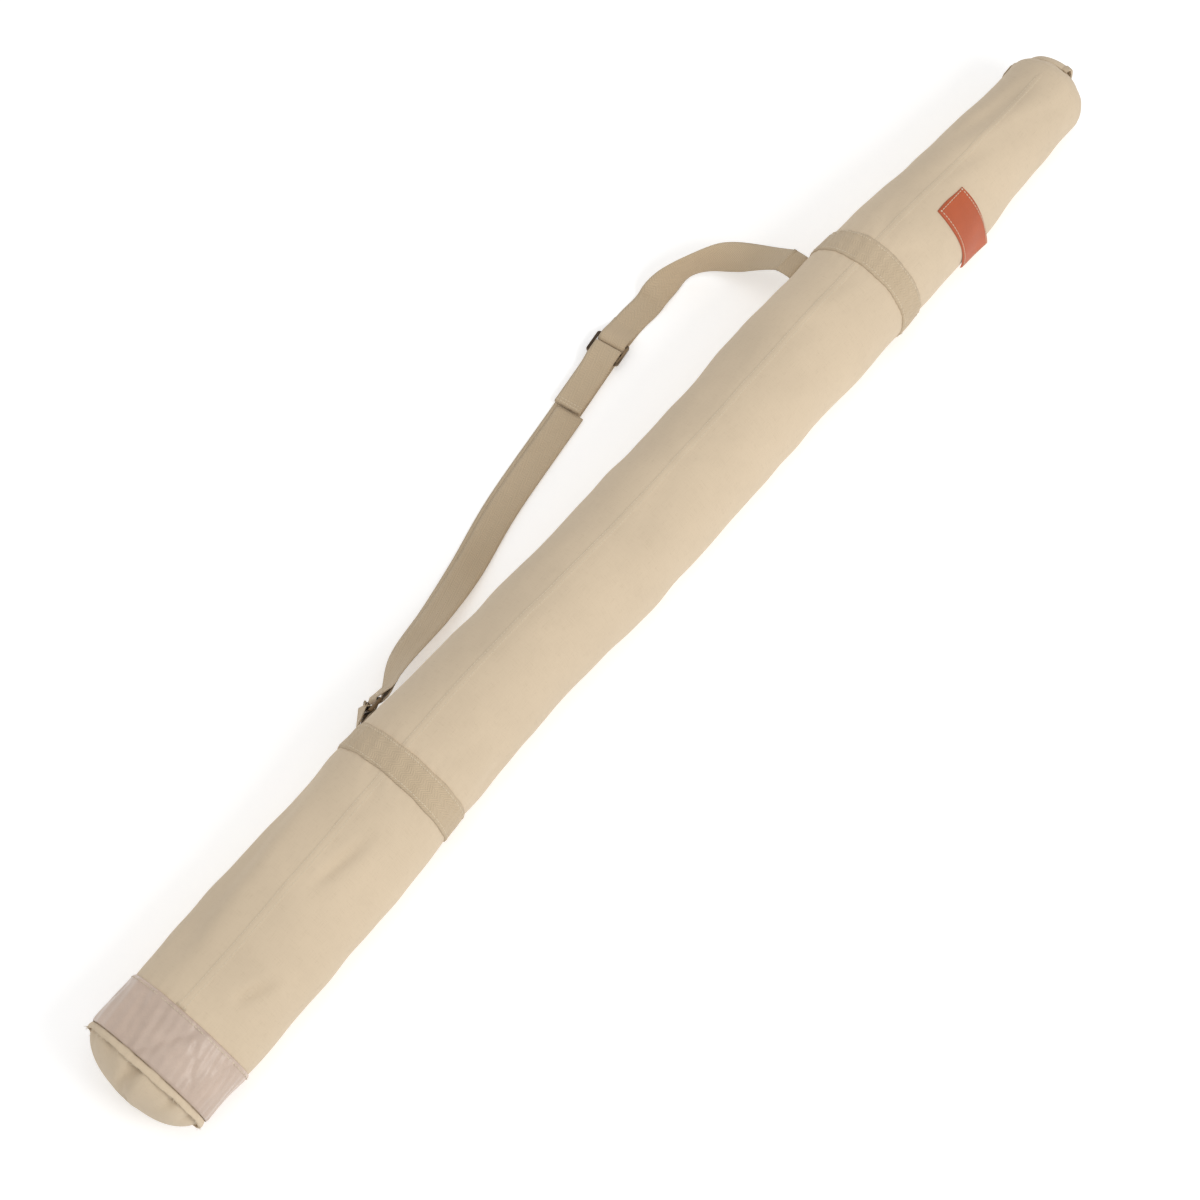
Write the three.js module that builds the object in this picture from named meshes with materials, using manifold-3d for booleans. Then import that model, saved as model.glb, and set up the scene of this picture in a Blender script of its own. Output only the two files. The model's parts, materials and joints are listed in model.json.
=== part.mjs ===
// A soft canvas cue case with a shoulder strap, lying on its side on a floor.
// Millimetres. +X runs from the closed butt end to the mouth, +Z is up, and the strap is on the +Y side.
// The origin is on the case's flat underside, halfway along it.

import * as THREE from 'three';
import { mergeVertices } from 'three/addons/utils/BufferGeometryUtils.js';
import Module from 'manifold-3d';

const wasm = await Module();
wasm.setup();

// ---- driving dimensions ----

const caseLength = 1200;      // butt cap to mouth flap
const tubeDiameter = 101;     // the round middle of the tube
const buttSpread = 17;        // the butt end lies pressed this much wider than the tube
const mouthDiameter = 77;
const buttWidening = 200;     // the length over which the tube widens to the butt
const buttFlatLength = 240;   // the butt's full width reaches this far from the cap
const mouthTaper = 250;       // the length over which the tube narrows to the mouth
const mouthNeckLength = 45;   // the mouth's own width reaches this far from the flap
const floorSag = 2.5;         // how far the tube's weight presses its round underside flat

const canvasThickness = 1.2;
const paddingThickness = 3.5;
const liningThickness = 0.7;
const layerGap = 0.6;         // between sewn layers
const partGap = 0.5;          // between pieces that meet end to end

const trimWidth = 47;
const trimThickness = 1.2;
const capDepth = 28;          // how far the butt cap domes out of the tube
const capSkirt = 8;           // the cap's edge is sewn this far inside the tube
const allowanceWidth = 6;     // raw canvas edge between trim and cap
const padThickness = 20;
const padWidthShare = 0.76;   // of the tube's width
const padCorner = 4;
const sleeveFromCap = 12;     // the padding and the lining start this far past the cap's rim

const seamWidth = 7;
const seamThickness = 0.6;
const seamGap = 0.4;          // round the seam, between it and what it lies under or on
const seamAngle = 88;         // degrees round the tube from its strap side

const webbingWidth = 26;
const webbingThickness = 1.5;
const lowerBandFromButt = 325; // the band's middle from the butt cap's tip
const upperBandFromMouth = 285;

const patchLength = 36;
const patchStart = 108;       // degrees
const patchSweep = 84;        // degrees
const patchThickness = 1.6;
const patchFromMouth = 194;   // the patch's middle from the flap's tip

const mouthDepth = 15;        // how far the closed flap domes out of the tube's hem
const hemRoll = 4;            // how far the tube's hem is drawn in at the mouth
const hemLength = 13;
const hemBend = 0.4;          // of the hem's length: where it turns in
const hemBendRoll = 0.3;      // of the hem's roll: how far it has turned in by there
const flapOverlap = 14;       // the flap covers this much of the fixed panel
const bindingWidth = 4.6;
const panelEdge = 0;          // the fixed panel ends at this y
const flapThickness = 1.4;
const studDiameter = 10;
const studFromRim = 18.5;     // the press stud's height below the top of the mouth's rim
const studFromEdge = 4;       // in from the fixed panel's edge
const studRoom = 3.6;         // between the flap and the panel, for the stud's inner halves

const ringWire = 3;
const ringWindow = 9;         // the window's length along the strap
const ringPlay = 2;           // free room round the ring's bar in the tab's fold
const foldPlay = 0.8;         // free room round the ring's other bar in the strap's fold
const tabLength = 14;
const hardwareSlack = 1.5;    // the metal's windows are this much wider than the webbing
const sliderLength = 22;
const sliderBar = 2.4;
const loopLength = 66;        // the sewn loop round the slider's middle bar
const ringSlope = 65;         // degrees: how steeply the ring hangs down from the swing axis
const swingClearance = 5;     // between the tube's side and the strap's swing axis
const swingRise = 5;          // the swing axis over the middle of the round tube
const strapOffFloor = 0.3;
const strapReach = 84;        // how far out from the swing axis the strap's belly lies
const sliderFromEnd = 20;     // the slider's middle from the far end of the strap's straight stretch
const barLeave = 10;          // the strap runs straight this far from the ring's bar
const returnShift = 4;        // the returning webbing lies this much nearer the case
const returnStart = 14;       // it comes down onto the outgoing webbing this far past the ring's bar
const returnOverlap = 5;      // it ends this far past the start of the slider's sewn loop
const rootStart = -22;        // degrees round the tube, where the strap's sewn root begins
const rootSweep = 26;
const rootClearance = 2;      // from the swing axis

// ---- places worked out from them ----

const buttTip = -caseLength / 2;
const mouthTip = caseLength / 2;
const tubeRadius = tubeDiameter / 2;
const canvasStart = buttTip + capDepth + partGap;
const hemEnd = mouthTip - mouthDepth;
const trimStart = canvasStart - partGap;
const trimEnd = trimStart + trimWidth;
const lowerBandMid = buttTip + lowerBandFromButt;
const upperBandMid = mouthTip - upperBandFromMouth;
const bandLift = 2 * seamGap + seamThickness;
const wallDepth = canvasThickness + paddingThickness + liningThickness + 2 * layerGap;
const coreMargin = 4;         // inside the wall, the soft shape closes evenly to its middle
const coreRadius = tubeRadius - wallDepth - coreMargin;
const steps = 28;             // facets round the tube
const curveShares = [0, 0.2, 0.4, 0.6, 0.8, 1];

// ---- the soft tube's shape ----

function easedStep(x, from, to) {
  return THREE.MathUtils.smoothstep(x, from, to);
}

function halfWidth(x) {
  const widenFrom = buttTip + buttFlatLength;
  const buttPart = 1 - easedStep(x, widenFrom, widenFrom + buttWidening);
  const narrowTo = mouthTip - mouthNeckLength;
  const mouthPart = easedStep(x, narrowTo - mouthTaper, narrowTo);
  return tubeRadius
    + buttPart * buttSpread / 2
    + mouthPart * (mouthDiameter / 2 - tubeRadius);
}

// Where the tube is wider than round it is lower, because the canvas keeps its length round the tube.
function halfHeight(x) {
  const width = halfWidth(x);
  if (width <= tubeRadius) return width;
  return Math.sqrt(2 * tubeRadius ** 2 - width ** 2);
}

// The bands and the trim press into the underside, so that the case lies on one plane.
const pressedIn = [
  { from: trimStart - partGap - allowanceWidth, to: trimEnd, depth: layerGap + trimThickness },
  ...[lowerBandMid, upperBandMid].map((mid) => ({
    from: mid - webbingWidth / 2,
    to: mid + webbingWidth / 2,
    depth: bandLift + webbingThickness,
  })),
];
const pressRamp = 3;
const pressMargin = 1.2;

function underside(x) {
  let lift = 0;
  for (const zone of pressedIn) {
    const outside = Math.max(zone.from - x, x - zone.to, 0) - pressMargin;
    const share = 1 - THREE.MathUtils.clamp(outside / pressRamp, 0, 1);
    lift = Math.max(lift, zone.depth * share);
  }
  return lift;
}

const deepestPress = bandLift + webbingThickness;

// A point of the soft case: x along it, radius as if the whole tube were round, angle from its strap side.
function onCase(x, radius, angle, bottom = underside(x)) {
  const width = halfWidth(x);
  const height = halfHeight(x);
  const reach = Math.max(radius, coreRadius);
  const inset = tubeRadius - reach;
  const y = (width - inset) * Math.cos(angle);
  const rise = (height + floorSag - inset) * Math.sin(angle);
  const z = Math.max(height + rise, bottom + inset);
  const share = Math.min(radius / coreRadius, 1);
  return new THREE.Vector3(x, y * share, height + (z - height) * share);
}

// ---- ways of making a solid ----

function fabric(color, roughness = 0.95) {
  return new THREE.MeshStandardMaterial({ color, roughness, metalness: 0 });
}

const finishes = {
  canvas: fabric(0xd9c6a8),
  seam: fabric(0xcdb997),
  webbing: fabric(0xcfbb98, 0.9),
  foam: fabric(0xbfbdb6),
  lining: fabric(0x8d8674, 0.8),
  trim: fabric(0xc9ab98, 0.35),
  leather: fabric(0xc9612f, 0.55),
  metal: new THREE.MeshStandardMaterial({ color: 0x4d4036, roughness: 0.4, metalness: 0.9 }),
};

// One closed surface with merged corners and its faces pointing out.
function closed(geometry) {
  const bare = geometry.clone();
  bare.deleteAttribute('normal');
  bare.deleteAttribute('uv');
  const merged = mergeVertices(bare, 1e-4);
  const at = merged.attributes.position;
  const index = merged.index.array;
  const [a, b, c] = [0, 1, 2].map(() => new THREE.Vector3());
  let volume = 0;
  for (let i = 0; i < index.length; i += 3) {
    a.fromBufferAttribute(at, index[i]);
    b.fromBufferAttribute(at, index[i + 1]);
    c.fromBufferAttribute(at, index[i + 2]);
    volume += a.dot(b.cross(c));
  }
  if (volume < 0) {
    for (let i = 0; i < index.length; i += 3) {
      [index[i + 1], index[i + 2]] = [index[i + 2], index[i + 1]];
    }
  }
  return merged;
}

function mapped(geometry, place) {
  const at = geometry.attributes.position;
  for (let i = 0; i < at.count; i += 1) {
    const moved = place(at.getX(i), at.getY(i), at.getZ(i));
    at.setXYZ(i, moved.x, moved.y, moved.z);
  }
  return closed(geometry);
}

// A closed outline of [x, radius] pairs, turned about the case's axis and laid on the soft tube.
function turned(outline, segments = steps, bottom = undefined) {
  const profile = outline.map(([x, radius]) => new THREE.Vector2(radius, x));
  const start = Math.PI / segments;
  const lathe = new THREE.LatheGeometry(profile, segments, start, 2 * Math.PI);
  return mapped(lathe, (lx, ly, lz) => {
    const radius = Math.hypot(lx, lz);
    return onCase(ly, radius, Math.atan2(lx, lz), bottom);
  });
}

// The outline of a sleeve wall: outward along the outside, and back along the inside.
function wall(stations, thickness) {
  const inside = stations.map(([x, radius]) => [x, radius - thickness]).reverse();
  return [...stations, ...inside, stations[0]];
}

// A thin block laid on the case's surface, along it through places and round it between two angles.
function laidOn({ places, start, sweep, inner, thickness, around = 1 }) {
  const last = places.length - 1;
  const block = new THREE.BoxGeometry(1, 1, 1, last, around, 1);
  return mapped(block, (bx, by, bz) => {
    const x = places[Math.round((bx + 0.5) * last)];
    const angle = THREE.MathUtils.degToRad(start + sweep * (by + 0.5));
    return onCase(x, inner + thickness * (bz + 0.5), angle);
  });
}

// Webbing bent along stations, each with its place and the directions across and through it.
function ribbon(stations, width = webbingWidth, thickness = webbingThickness) {
  const last = stations.length - 1;
  const block = new THREE.BoxGeometry(1, 1, 1, last, 1, 1);
  return mapped(block, (bx, by, bz) => {
    const station = stations[Math.round((bx + 0.5) * last)];
    return station.at.clone()
      .addScaledVector(station.across, by * width)
      .addScaledVector(station.through, bz * thickness);
  });
}

function solid(geometry) {
  const merged = closed(geometry.index ? geometry : mergeVertices(geometry, 1e-4));
  return new wasm.Manifold(new wasm.Mesh({
    numProp: 3,
    vertProperties: new Float32Array(merged.attributes.position.array),
    triVerts: new Uint32Array(merged.index.array),
  }));
}

function geometryOf(body) {
  const mesh = body.getMesh();
  return new THREE.BufferGeometry()
    .setAttribute('position', new THREE.BufferAttribute(mesh.vertProperties, 3))
    .setIndex(new THREE.BufferAttribute(mesh.triVerts, 1));
}

const part = new THREE.Group();

function add(name, geometry, finish) {
  const mesh = new THREE.Mesh(geometry, finish);
  mesh.name = name;
  part.add(mesh);
  return mesh;
}

// ---- the sleeve: canvas, padding, lining, seam ----

// The places along the sleeve where its width changes, so that every layer bends at the same ones.
function bendPlaces() {
  const widenFrom = buttTip + buttFlatLength;
  const taperTo = mouthTip - mouthNeckLength;
  return [
    ...curveShares.map((share) => widenFrom + share * buttWidening),
    ...curveShares.map((share) => taperTo - share * mouthTaper),
    0,
  ];
}

function pressPlaces() {
  return pressedIn.flatMap((zone) => [
    zone.from - pressMargin - pressRamp,
    zone.from - pressMargin,
    zone.to + pressMargin,
    zone.to + pressMargin + pressRamp,
  ]);
}

function canvasPlaces() {
  return [...bendPlaces(), ...pressPlaces()];
}

function placesBetween(from, to, places = canvasPlaces()) {
  const within = places.filter((x) => x > from && x < to).sort((a, b) => a - b);
  return [from, ...within, to];
}

function canvasTube() {
  const straightTo = hemEnd - hemLength;
  const stations = placesBetween(canvasStart, straightTo).map((x) => [x, tubeRadius]);
  stations.push([hemEnd - hemLength * hemBend, tubeRadius - hemRoll * hemBendRoll]);
  stations.push([hemEnd, tubeRadius - hemRoll]);
  return turned(wall(stations, canvasThickness));
}

function innerSleeve(outerInset, thickness, from, to) {
  const radius = tubeRadius - outerInset;
  const stations = placesBetween(from, to, bendPlaces()).map((x) => [x, radius]);
  return turned(wall(stations, thickness), steps, deepestPress);
}

const sleeveStart = buttTip + capDepth + sleeveFromCap;
const sleeveEnd = hemEnd - hemLength;
const paddingInset = canvasThickness + layerGap;
const liningInset = paddingInset + paddingThickness + layerGap;

add('canvas_tube', canvasTube(), finishes.canvas);
add(
  'padding_sleeve',
  innerSleeve(paddingInset, paddingThickness, sleeveStart, sleeveEnd),
  finishes.foam,
);
add(
  'lining_sleeve',
  innerSleeve(liningInset, liningThickness, sleeveStart, sleeveEnd),
  finishes.lining,
);
add(
  'lengthwise_seam',
  laidOn({
    places: placesBetween(trimEnd + partGap, sleeveEnd),
    start: seamAngle - THREE.MathUtils.radToDeg(seamWidth / 2 / tubeRadius),
    sweep: THREE.MathUtils.radToDeg(seamWidth / tubeRadius),
    inner: tubeRadius + seamGap,
    thickness: seamThickness,
  }),
  finishes.seam,
);

// ---- bands, trim and butt end ----

function bandRing(from, to, inner, thickness) {
  const stations = placesBetween(from, to, bendPlaces()).map((x) => [x, inner + thickness]);
  return turned(wall(stations, thickness));
}

for (const [name, mid] of [['lower', lowerBandMid], ['upper', upperBandMid]]) {
  add(
    `${name}_webbing_band`,
    bandRing(
      mid - webbingWidth / 2,
      mid + webbingWidth / 2,
      tubeRadius + bandLift,
      webbingThickness,
    ),
    finishes.webbing,
  );
}

add(
  'butt_trim_band',
  bandRing(trimStart, trimEnd, tubeRadius + layerGap, trimThickness),
  finishes.trim,
);
add(
  'end_seam_allowance',
  bandRing(
    trimStart - partGap - allowanceWidth,
    trimStart - partGap,
    tubeRadius - canvasThickness,
    2 * canvasThickness,
  ),
  finishes.canvas,
);

// A dome's outline from its rim to the axis; the depth is positive towards the mouth.
function domeOutline(rimX, rimRadius, depth, arcSteps = 7) {
  const points = [];
  for (let i = 0; i <= arcSteps; i += 1) {
    const turn = (i / arcSteps) * Math.PI / 2;
    const radius = i === arcSteps ? 0 : rimRadius * Math.cos(turn);
    points.push([rimX + depth * Math.sin(turn), radius]);
  }
  return points;
}

function domeShell(skirt, rimX, rimRadius, depth, thickness) {
  const outside = [...skirt, ...domeOutline(rimX, rimRadius, depth)];
  const innerDepth = Math.sign(depth) * (Math.abs(depth) - thickness);
  const innerSkirt = skirt.map(([x, radius]) => [x, radius - thickness]);
  const inside = [...innerSkirt, ...domeOutline(rimX, rimRadius - thickness, innerDepth)];
  return [...outside.reverse(), ...inside];
}

const capRim = tubeRadius - canvasThickness - layerGap;
add(
  'end_cap',
  turned(domeShell(
    [[canvasStart + capSkirt, capRim]],
    buttTip + capDepth,
    capRim,
    -capDepth,
    canvasThickness,
  )),
  finishes.canvas,
);

function buttPad() {
  const back = buttTip + capDepth / 2;
  const front = back + padThickness;
  const radius = tubeRadius * padWidthShare;
  return turned([
    [back, 0], [back, radius - padCorner], [back + padCorner, radius], [front, radius], [front, 0],
  ]);
}
add('butt_pad', buttPad(), finishes.foam);

const patchMid = mouthTip - patchFromMouth;
add(
  'leather_patch',
  laidOn({
    places: placesBetween(patchMid - patchLength / 2, patchMid + patchLength / 2),
    start: patchStart,
    sweep: patchSweep,
    inner: tubeRadius + 0.3,
    thickness: patchThickness,
    around: 12,
  }),
  finishes.leather,
);

// ---- the mouth: a fixed end panel, the flap that closes it, and a press stud ----

function boxAt(fromY, toY) {
  const size = 4 * tubeDiameter;
  const box = new THREE.BoxGeometry(size, toY - fromY, size);
  box.translate(mouthTip, (fromY + toY) / 2, 0);
  return solid(box);
}

const farAway = 2 * tubeDiameter;
const flapEdge = panelEdge - flapOverlap;
const hemRadius = tubeRadius - hemRoll;
const panelInset = canvasThickness + layerGap;
const panelRim = hemRadius - panelInset;
const panelTip = mouthTip - flapThickness - studRoom;
const mouthHeight = halfHeight(mouthTip);

function mouthDome(rimX, rimRadius, depth, thickness, skirt = []) {
  return solid(turned(domeShell(skirt, rimX, rimRadius, depth, thickness)));
}

// The press stud stands on the flap's dome, square to it.
function studPlace() {
  const rimHeight = mouthDiameter / 2 - hemRoll;
  const studHeight = rimHeight - studFromRim;
  const share = studHeight / rimHeight;
  const out = mouthDepth * Math.sqrt(1 - share ** 2);
  const normal = new THREE.Vector3(out / mouthDepth ** 2, 0, studHeight / rimHeight ** 2);
  const at = new THREE.Vector3(hemEnd + out, panelEdge - studFromEdge, mouthHeight + studHeight);
  return { at, normal: normal.normalize() };
}
const stud = studPlace();

// A turned stud piece: its outline gives radii and heights out of the flap along the stud's axis.
function studPiece(outline, segments = 16) {
  const profile = outline.map(([radius, out]) => new THREE.Vector2(radius, out));
  const piece = new THREE.LatheGeometry(profile, segments);
  const up = new THREE.Vector3(0, 1, 0);
  piece.applyQuaternion(new THREE.Quaternion().setFromUnitVectors(up, stud.normal));
  piece.translate(stud.at.x, stud.at.y, stud.at.z);
  return closed(piece);
}

const shankRadius = 1.5;
const holeRadius = shankRadius + layerGap;
const capRadius = studDiameter / 2;

function mouthFlap() {
  const dome = mouthDome(hemEnd + partGap, hemRadius, mouthDepth - partGap, flapThickness);
  const hole = solid(studPiece([[0, -4], [holeRadius, -4], [holeRadius, 3], [0, 3]]));
  return geometryOf(dome.intersect(boxAt(flapEdge, farAway)).subtract(hole));
}

const panelEase = 0.2;        // the panel's skirt lies this much free of the hem

function endPanel() {
  const skirtRadius = tubeRadius - panelInset - panelEase;
  const skirt = [
    [hemEnd - hemLength + 1, skirtRadius],
    [hemEnd - hemLength * hemBend - partGap, skirtRadius - hemRoll * hemBendRoll],
  ];
  const dome = mouthDome(hemEnd, panelRim - panelEase, panelTip - hemEnd, canvasThickness, skirt);
  return geometryOf(dome.intersect(boxAt(-farAway, panelEdge)));
}

function flapBinding() {
  const lift = 0.4;
  const thickness = 0.7;
  const dome = mouthDome(
    hemEnd + partGap,
    hemRadius + lift + thickness,
    mouthDepth - partGap + lift + thickness,
    thickness,
  );
  return geometryOf(dome.intersect(boxAt(flapEdge, flapEdge + bindingWidth)));
}

add('mouth_end_panel', endPanel(), finishes.canvas);
add('mouth_flap', mouthFlap(), finishes.canvas);
add('flap_binding', flapBinding(), finishes.webbing);

add(
  'stud_cap',
  studPiece([
    [0, -2.4], [shankRadius, -2.4], [shankRadius, 0.5], [capRadius, 0.5],
    [capRadius, 1.1], [capRadius * 0.7, 1.9], [0, 2.2],
  ]),
  finishes.metal,
);

// The cap's other half, clamped to the flap's inside round the shank.
const socketHole = shankRadius + 0.4;
const socketRadius = capRadius * 0.8;
add(
  'stud_socket',
  studPiece([
    [socketHole, -3], [socketRadius, -3], [socketRadius, -1.9], [socketHole, -1.9], [socketHole, -3],
  ]),
  finishes.metal,
);

// The knob on the fixed panel that the socket snaps over, and its backing washer.
const knobBase = capRadius * 0.7;
const knobRadius = shankRadius - 0.1;
add(
  'stud_ball',
  studPiece([
    [0, -4.2], [knobBase, -4.2], [knobBase, -3.7], [knobRadius, -3.7], [knobRadius, -2.8], [0, -2.6],
  ]),
  finishes.metal,
);
add(
  'stud_eyelet',
  studPiece([[0, -7.6], [knobBase, -7.6], [knobBase, -6.9], [0, -6.9]]),
  finishes.metal,
);

// ---- the strap ----

const ringCross = webbingWidth + hardwareSlack;
const bandEdge = lowerBandMid + webbingWidth / 2;
const ringPitch = ringWindow + ringWire;
const innerBarX = bandEdge + partGap + tabLength;
const outerBarX = innerBarX + ringPitch;
const rootX = upperBandMid - webbingWidth - partGap;
const swing = {
  y: halfWidth(bandEdge) + swingClearance,
  z: tubeRadius + swingRise,
};

// At the ring the webbing slopes down and outwards from the swing axis.
const alongCase = new THREE.Vector3(1, 0, 0);
const slope = THREE.MathUtils.degToRad(ringSlope);
const slopeDown = new THREE.Vector3(0, Math.cos(slope), -Math.sin(slope));
const slopeUp = new THREE.Vector3(0, Math.sin(slope), Math.cos(slope));
const barOut = ringCross / 2 + ringWire;

function barCentre(x) {
  return new THREE.Vector3(x, swing.y, swing.z).addScaledVector(slopeDown, barOut);
}

// A flat frame with rounded ends and one window per [middle, length] pair, lying in the x-y plane.
function flatFrame(length, bar, windows, thickness) {
  const width = ringCross + 2 * bar;
  const block = new THREE.BoxGeometry(length, width - 2 * bar, thickness);
  let frame = solid(block).add(solid(new THREE.BoxGeometry(length - 2 * bar, width, thickness)));
  const cornerX = length / 2 - bar;
  const cornerY = width / 2 - bar;
  for (const [sideX, sideY] of [[-1, -1], [-1, 1], [1, -1], [1, 1]]) {
    const corner = new THREE.CylinderGeometry(bar, bar, thickness, 12);
    corner.rotateX(Math.PI / 2);
    corner.translate(sideX * cornerX, sideY * cornerY, 0);
    frame = frame.add(solid(corner));
  }
  for (const [middle, size] of windows) {
    const window = new THREE.BoxGeometry(size, ringCross, 3 * thickness);
    window.translate(middle, 0, 0);
    frame = frame.subtract(solid(window));
  }
  return geometryOf(frame);
}

function placed(geometry, at, along, across, through) {
  const turn = new THREE.Matrix4().makeBasis(along, across, through).setPosition(at);
  return closed(geometry.applyMatrix4(turn));
}

add(
  'strap_ring',
  placed(
    flatFrame(ringPitch + ringWire, ringWire, [[0, ringWindow]], ringWire),
    barCentre((innerBarX + outerBarX) / 2),
    alongCase,
    slopeDown,
    slopeUp,
  ),
  finishes.metal,
);

// Half a turn of webbing round a bar, from below it to above it, on the side that facing points to.
function foldRound(centre, radius, facing, across, through, turns = 6) {
  const stations = [];
  for (let i = 0; i <= turns; i += 1) {
    const angle = -Math.PI / 2 + (Math.PI * i) / turns;
    const outward = facing.clone().multiplyScalar(Math.cos(angle))
      .addScaledVector(through, Math.sin(angle));
    const at = centre.clone().addScaledVector(outward, radius);
    stations.push({ at, across, through: outward });
  }
  return stations;
}

function level(x, height) {
  return barCentre(x).addScaledVector(slopeUp, height);
}

function ringTab() {
  const radius = ringWire / 2 + ringPlay + webbingThickness / 2;
  const centre = barCentre(innerBarX);
  const fold = foldRound(centre, radius, alongCase, slopeDown, slopeUp);
  const start = bandEdge + partGap;
  const down = slopeUp.clone().negate();
  return ribbon([
    { at: level(start, -radius), across: slopeDown, through: down },
    ...fold,
    { at: level(start, radius), across: slopeDown, through: slopeUp },
  ]);
}
add('ring_tab', ringTab(), finishes.webbing);

// ---- the strap's run from the ring out along the floor and back to its root by the upper band ----

const layerPitch = webbingThickness + layerGap;
const floorLevel = strapOffFloor + webbingThickness / 2;
const foldRadius = ringWire / 2 + foldPlay + webbingThickness / 2;

// A point of the run: its share of the way from ring to root, its share of the reach, and its height.
function onRun(alongShare, outShare, height) {
  const x = THREE.MathUtils.lerp(outerBarX, rootX, alongShare);
  return new THREE.Vector3(x, swing.y + outShare * strapReach, height);
}

const straightFrom = onRun(0.4, 0.665, floorLevel);
const straightTo = onRun(0.76, 0.99, floorLevel);
const straightAlong = straightTo.clone().sub(straightFrom).normalize();
const straightUp = new THREE.Vector3(0, 0, 1);
const straightAcross = straightUp.clone().cross(straightAlong);

function bend(alongShare, outShare, heightShare, ...across) {
  const height = Math.max(heightShare * swing.z, floorLevel);
  return {
    at: onRun(alongShare, outShare, height),
    across: new THREE.Vector3(...across).normalize(),
  };
}

// The run's middle line, with the way the webbing's width points at each place.
const runPoints = [
  { at: level(outerBarX, -foldRadius), across: slopeDown },
  { at: level(outerBarX + barLeave, -foldRadius), across: slopeDown },
  bend(0.084, 0.23, 0.54, -0.05, 0.8, -0.6),
  bend(0.18, 0.35, 0.235, -0.13, 0.93, -0.33),
  bend(0.275, 0.48, 0.06, -0.2, 0.97, -0.06),
  { at: straightFrom, across: straightAcross },
  { at: straightFrom.clone().lerp(straightTo, 0.5), across: straightAcross },
  { at: straightTo, across: straightAcross },
  bend(0.83, 0.99, 0.04, 0.02, 1, 0.02),
  bend(0.85, 0.99, 0.125, 0, 0.96, 0.26),
  bend(0.872, 0.98, 0.18, -0.05, 0.85, 0.52),
  bend(0.908, 0.93, 0.28, 0.1, 0.35, 0.93),
  bend(0.938, 0.83, 0.34, 0.35, 0.1, 0.93),
  bend(0.965, 0.66, 0.43, 0.7, 0, 0.71),
  bend(0.985, 0.43, 0.56, 0.93, 0.05, 0.36),
  bend(0.996, 0.21, 0.76, 1, 0.05, 0.05),
  bend(1, 0.07, 0.92, 1, 0, 0),
  bend(1, 0.02, 0.99, 1, 0, 0),
];

// Stations spread evenly along a smooth line through the points of a run.
function spread(points, count) {
  const middle = new THREE.CatmullRomCurve3(points.map((p) => p.at), false, 'centripetal');
  const last = points.length - 1;
  const stations = [];
  for (let i = 0; i <= count; i += 1) {
    const t = i / count;
    const place = Math.min(Math.floor(t * last), last - 1);
    const tangent = middle.getTangent(t);
    const across = points[place].across.clone().lerp(points[place + 1].across, t * last - place);
    across.addScaledVector(tangent, -across.dot(tangent)).normalize();
    const through = tangent.clone().cross(across).normalize();
    stations.push({ at: middle.getPoint(t), across, through });
  }
  return stations;
}

// The slider rides at the straight stretch's far end.
const sliderAt = straightTo.clone().addScaledVector(straightAlong, -sliderFromEnd);
const runSteps = 70;

function turnedOver(station) {
  return { ...station, through: station.through.clone().negate() };
}

function returning(station) {
  const at = station.at.clone()
    .addScaledVector(station.through, layerPitch)
    .addScaledVector(station.across, -returnShift);
  return { ...station, at };
}

// From the root along the floor to the ring, round its bar, and back on top as far as the slider's loop.
function shoulderStrap() {
  const main = spread(runPoints, runSteps);
  const fold = foldRound(
    barCentre(outerBarX),
    foldRadius,
    alongCase.clone().negate(),
    slopeDown,
    slopeUp,
  );
  const returnEnd = sliderAt.x - loopLength + returnOverlap;
  const back = main
    .filter(({ at }) => at.x > outerBarX + returnStart && at.x < returnEnd)
    .map(returning);
  const out = main.slice(1).reverse().map(turnedOver);
  return ribbon([...out, ...fold, ...back]);
}
add('shoulder_strap', shoulderStrap(), finishes.webbing);

// The strap's sewn root climbs the case's side and leans out to the swing axis.
function strapRoot() {
  const points = [0, 0.33, 0.67, 1].map((share) => {
    const angle = THREE.MathUtils.degToRad(rootStart + rootSweep * share);
    return onCase(rootX, tubeRadius + seamGap + webbingThickness / 2, angle);
  });
  points.push(new THREE.Vector3(rootX, swing.y - rootClearance, swing.z + 0.5));
  return ribbon(spread(points.map((at) => ({ at, across: alongCase })), 12));
}
add('strap_root', strapRoot(), finishes.webbing);

// ---- the slider: a frame with three bars, and the webbing loop sewn round its middle bar ----

const loopLevel = floorLevel + 2 * layerPitch;
const loopRadius = sliderBar / 2 + layerGap + webbingThickness / 2;
const frameCentre = sliderAt.clone().setZ(loopLevel + loopRadius);
const sliderWindow = (sliderLength - 3 * sliderBar) / 2;

add(
  'slider_frame',
  placed(
    flatFrame(
      sliderLength,
      sliderBar,
      [-1, 1].map((side) => [side * (sliderBar + sliderWindow) / 2, sliderWindow]),
      sliderBar,
    ),
    frameCentre,
    straightAlong,
    straightAcross,
    straightUp,
  ),
  finishes.metal,
);

function loopStation(back, height) {
  const at = frameCentre.clone().addScaledVector(straightAlong, -back);
  at.z = height;
  return { at, across: straightAcross, through: straightUp };
}

function sliderLoop() {
  const pastFrame = sliderLength / 2 + 2;
  const comeDown = 10;
  const upper = [
    loopStation(pastFrame, loopLevel + 2 * loopRadius),
    loopStation(pastFrame + comeDown, loopLevel + layerPitch),
    loopStation(loopLength, loopLevel + layerPitch),
  ];
  const fold = foldRound(frameCentre, loopRadius, straightAlong, straightAcross, straightUp);
  return ribbon([turnedOver(loopStation(loopLength, loopLevel)), ...fold, ...upper]);
}
add('slider_loop', sliderLoop(), finishes.webbing);

export default part;
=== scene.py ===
"""A soft canvas cue case with a shoulder strap: its shapes, stitching, materials, light and camera."""

import json
import math

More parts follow.
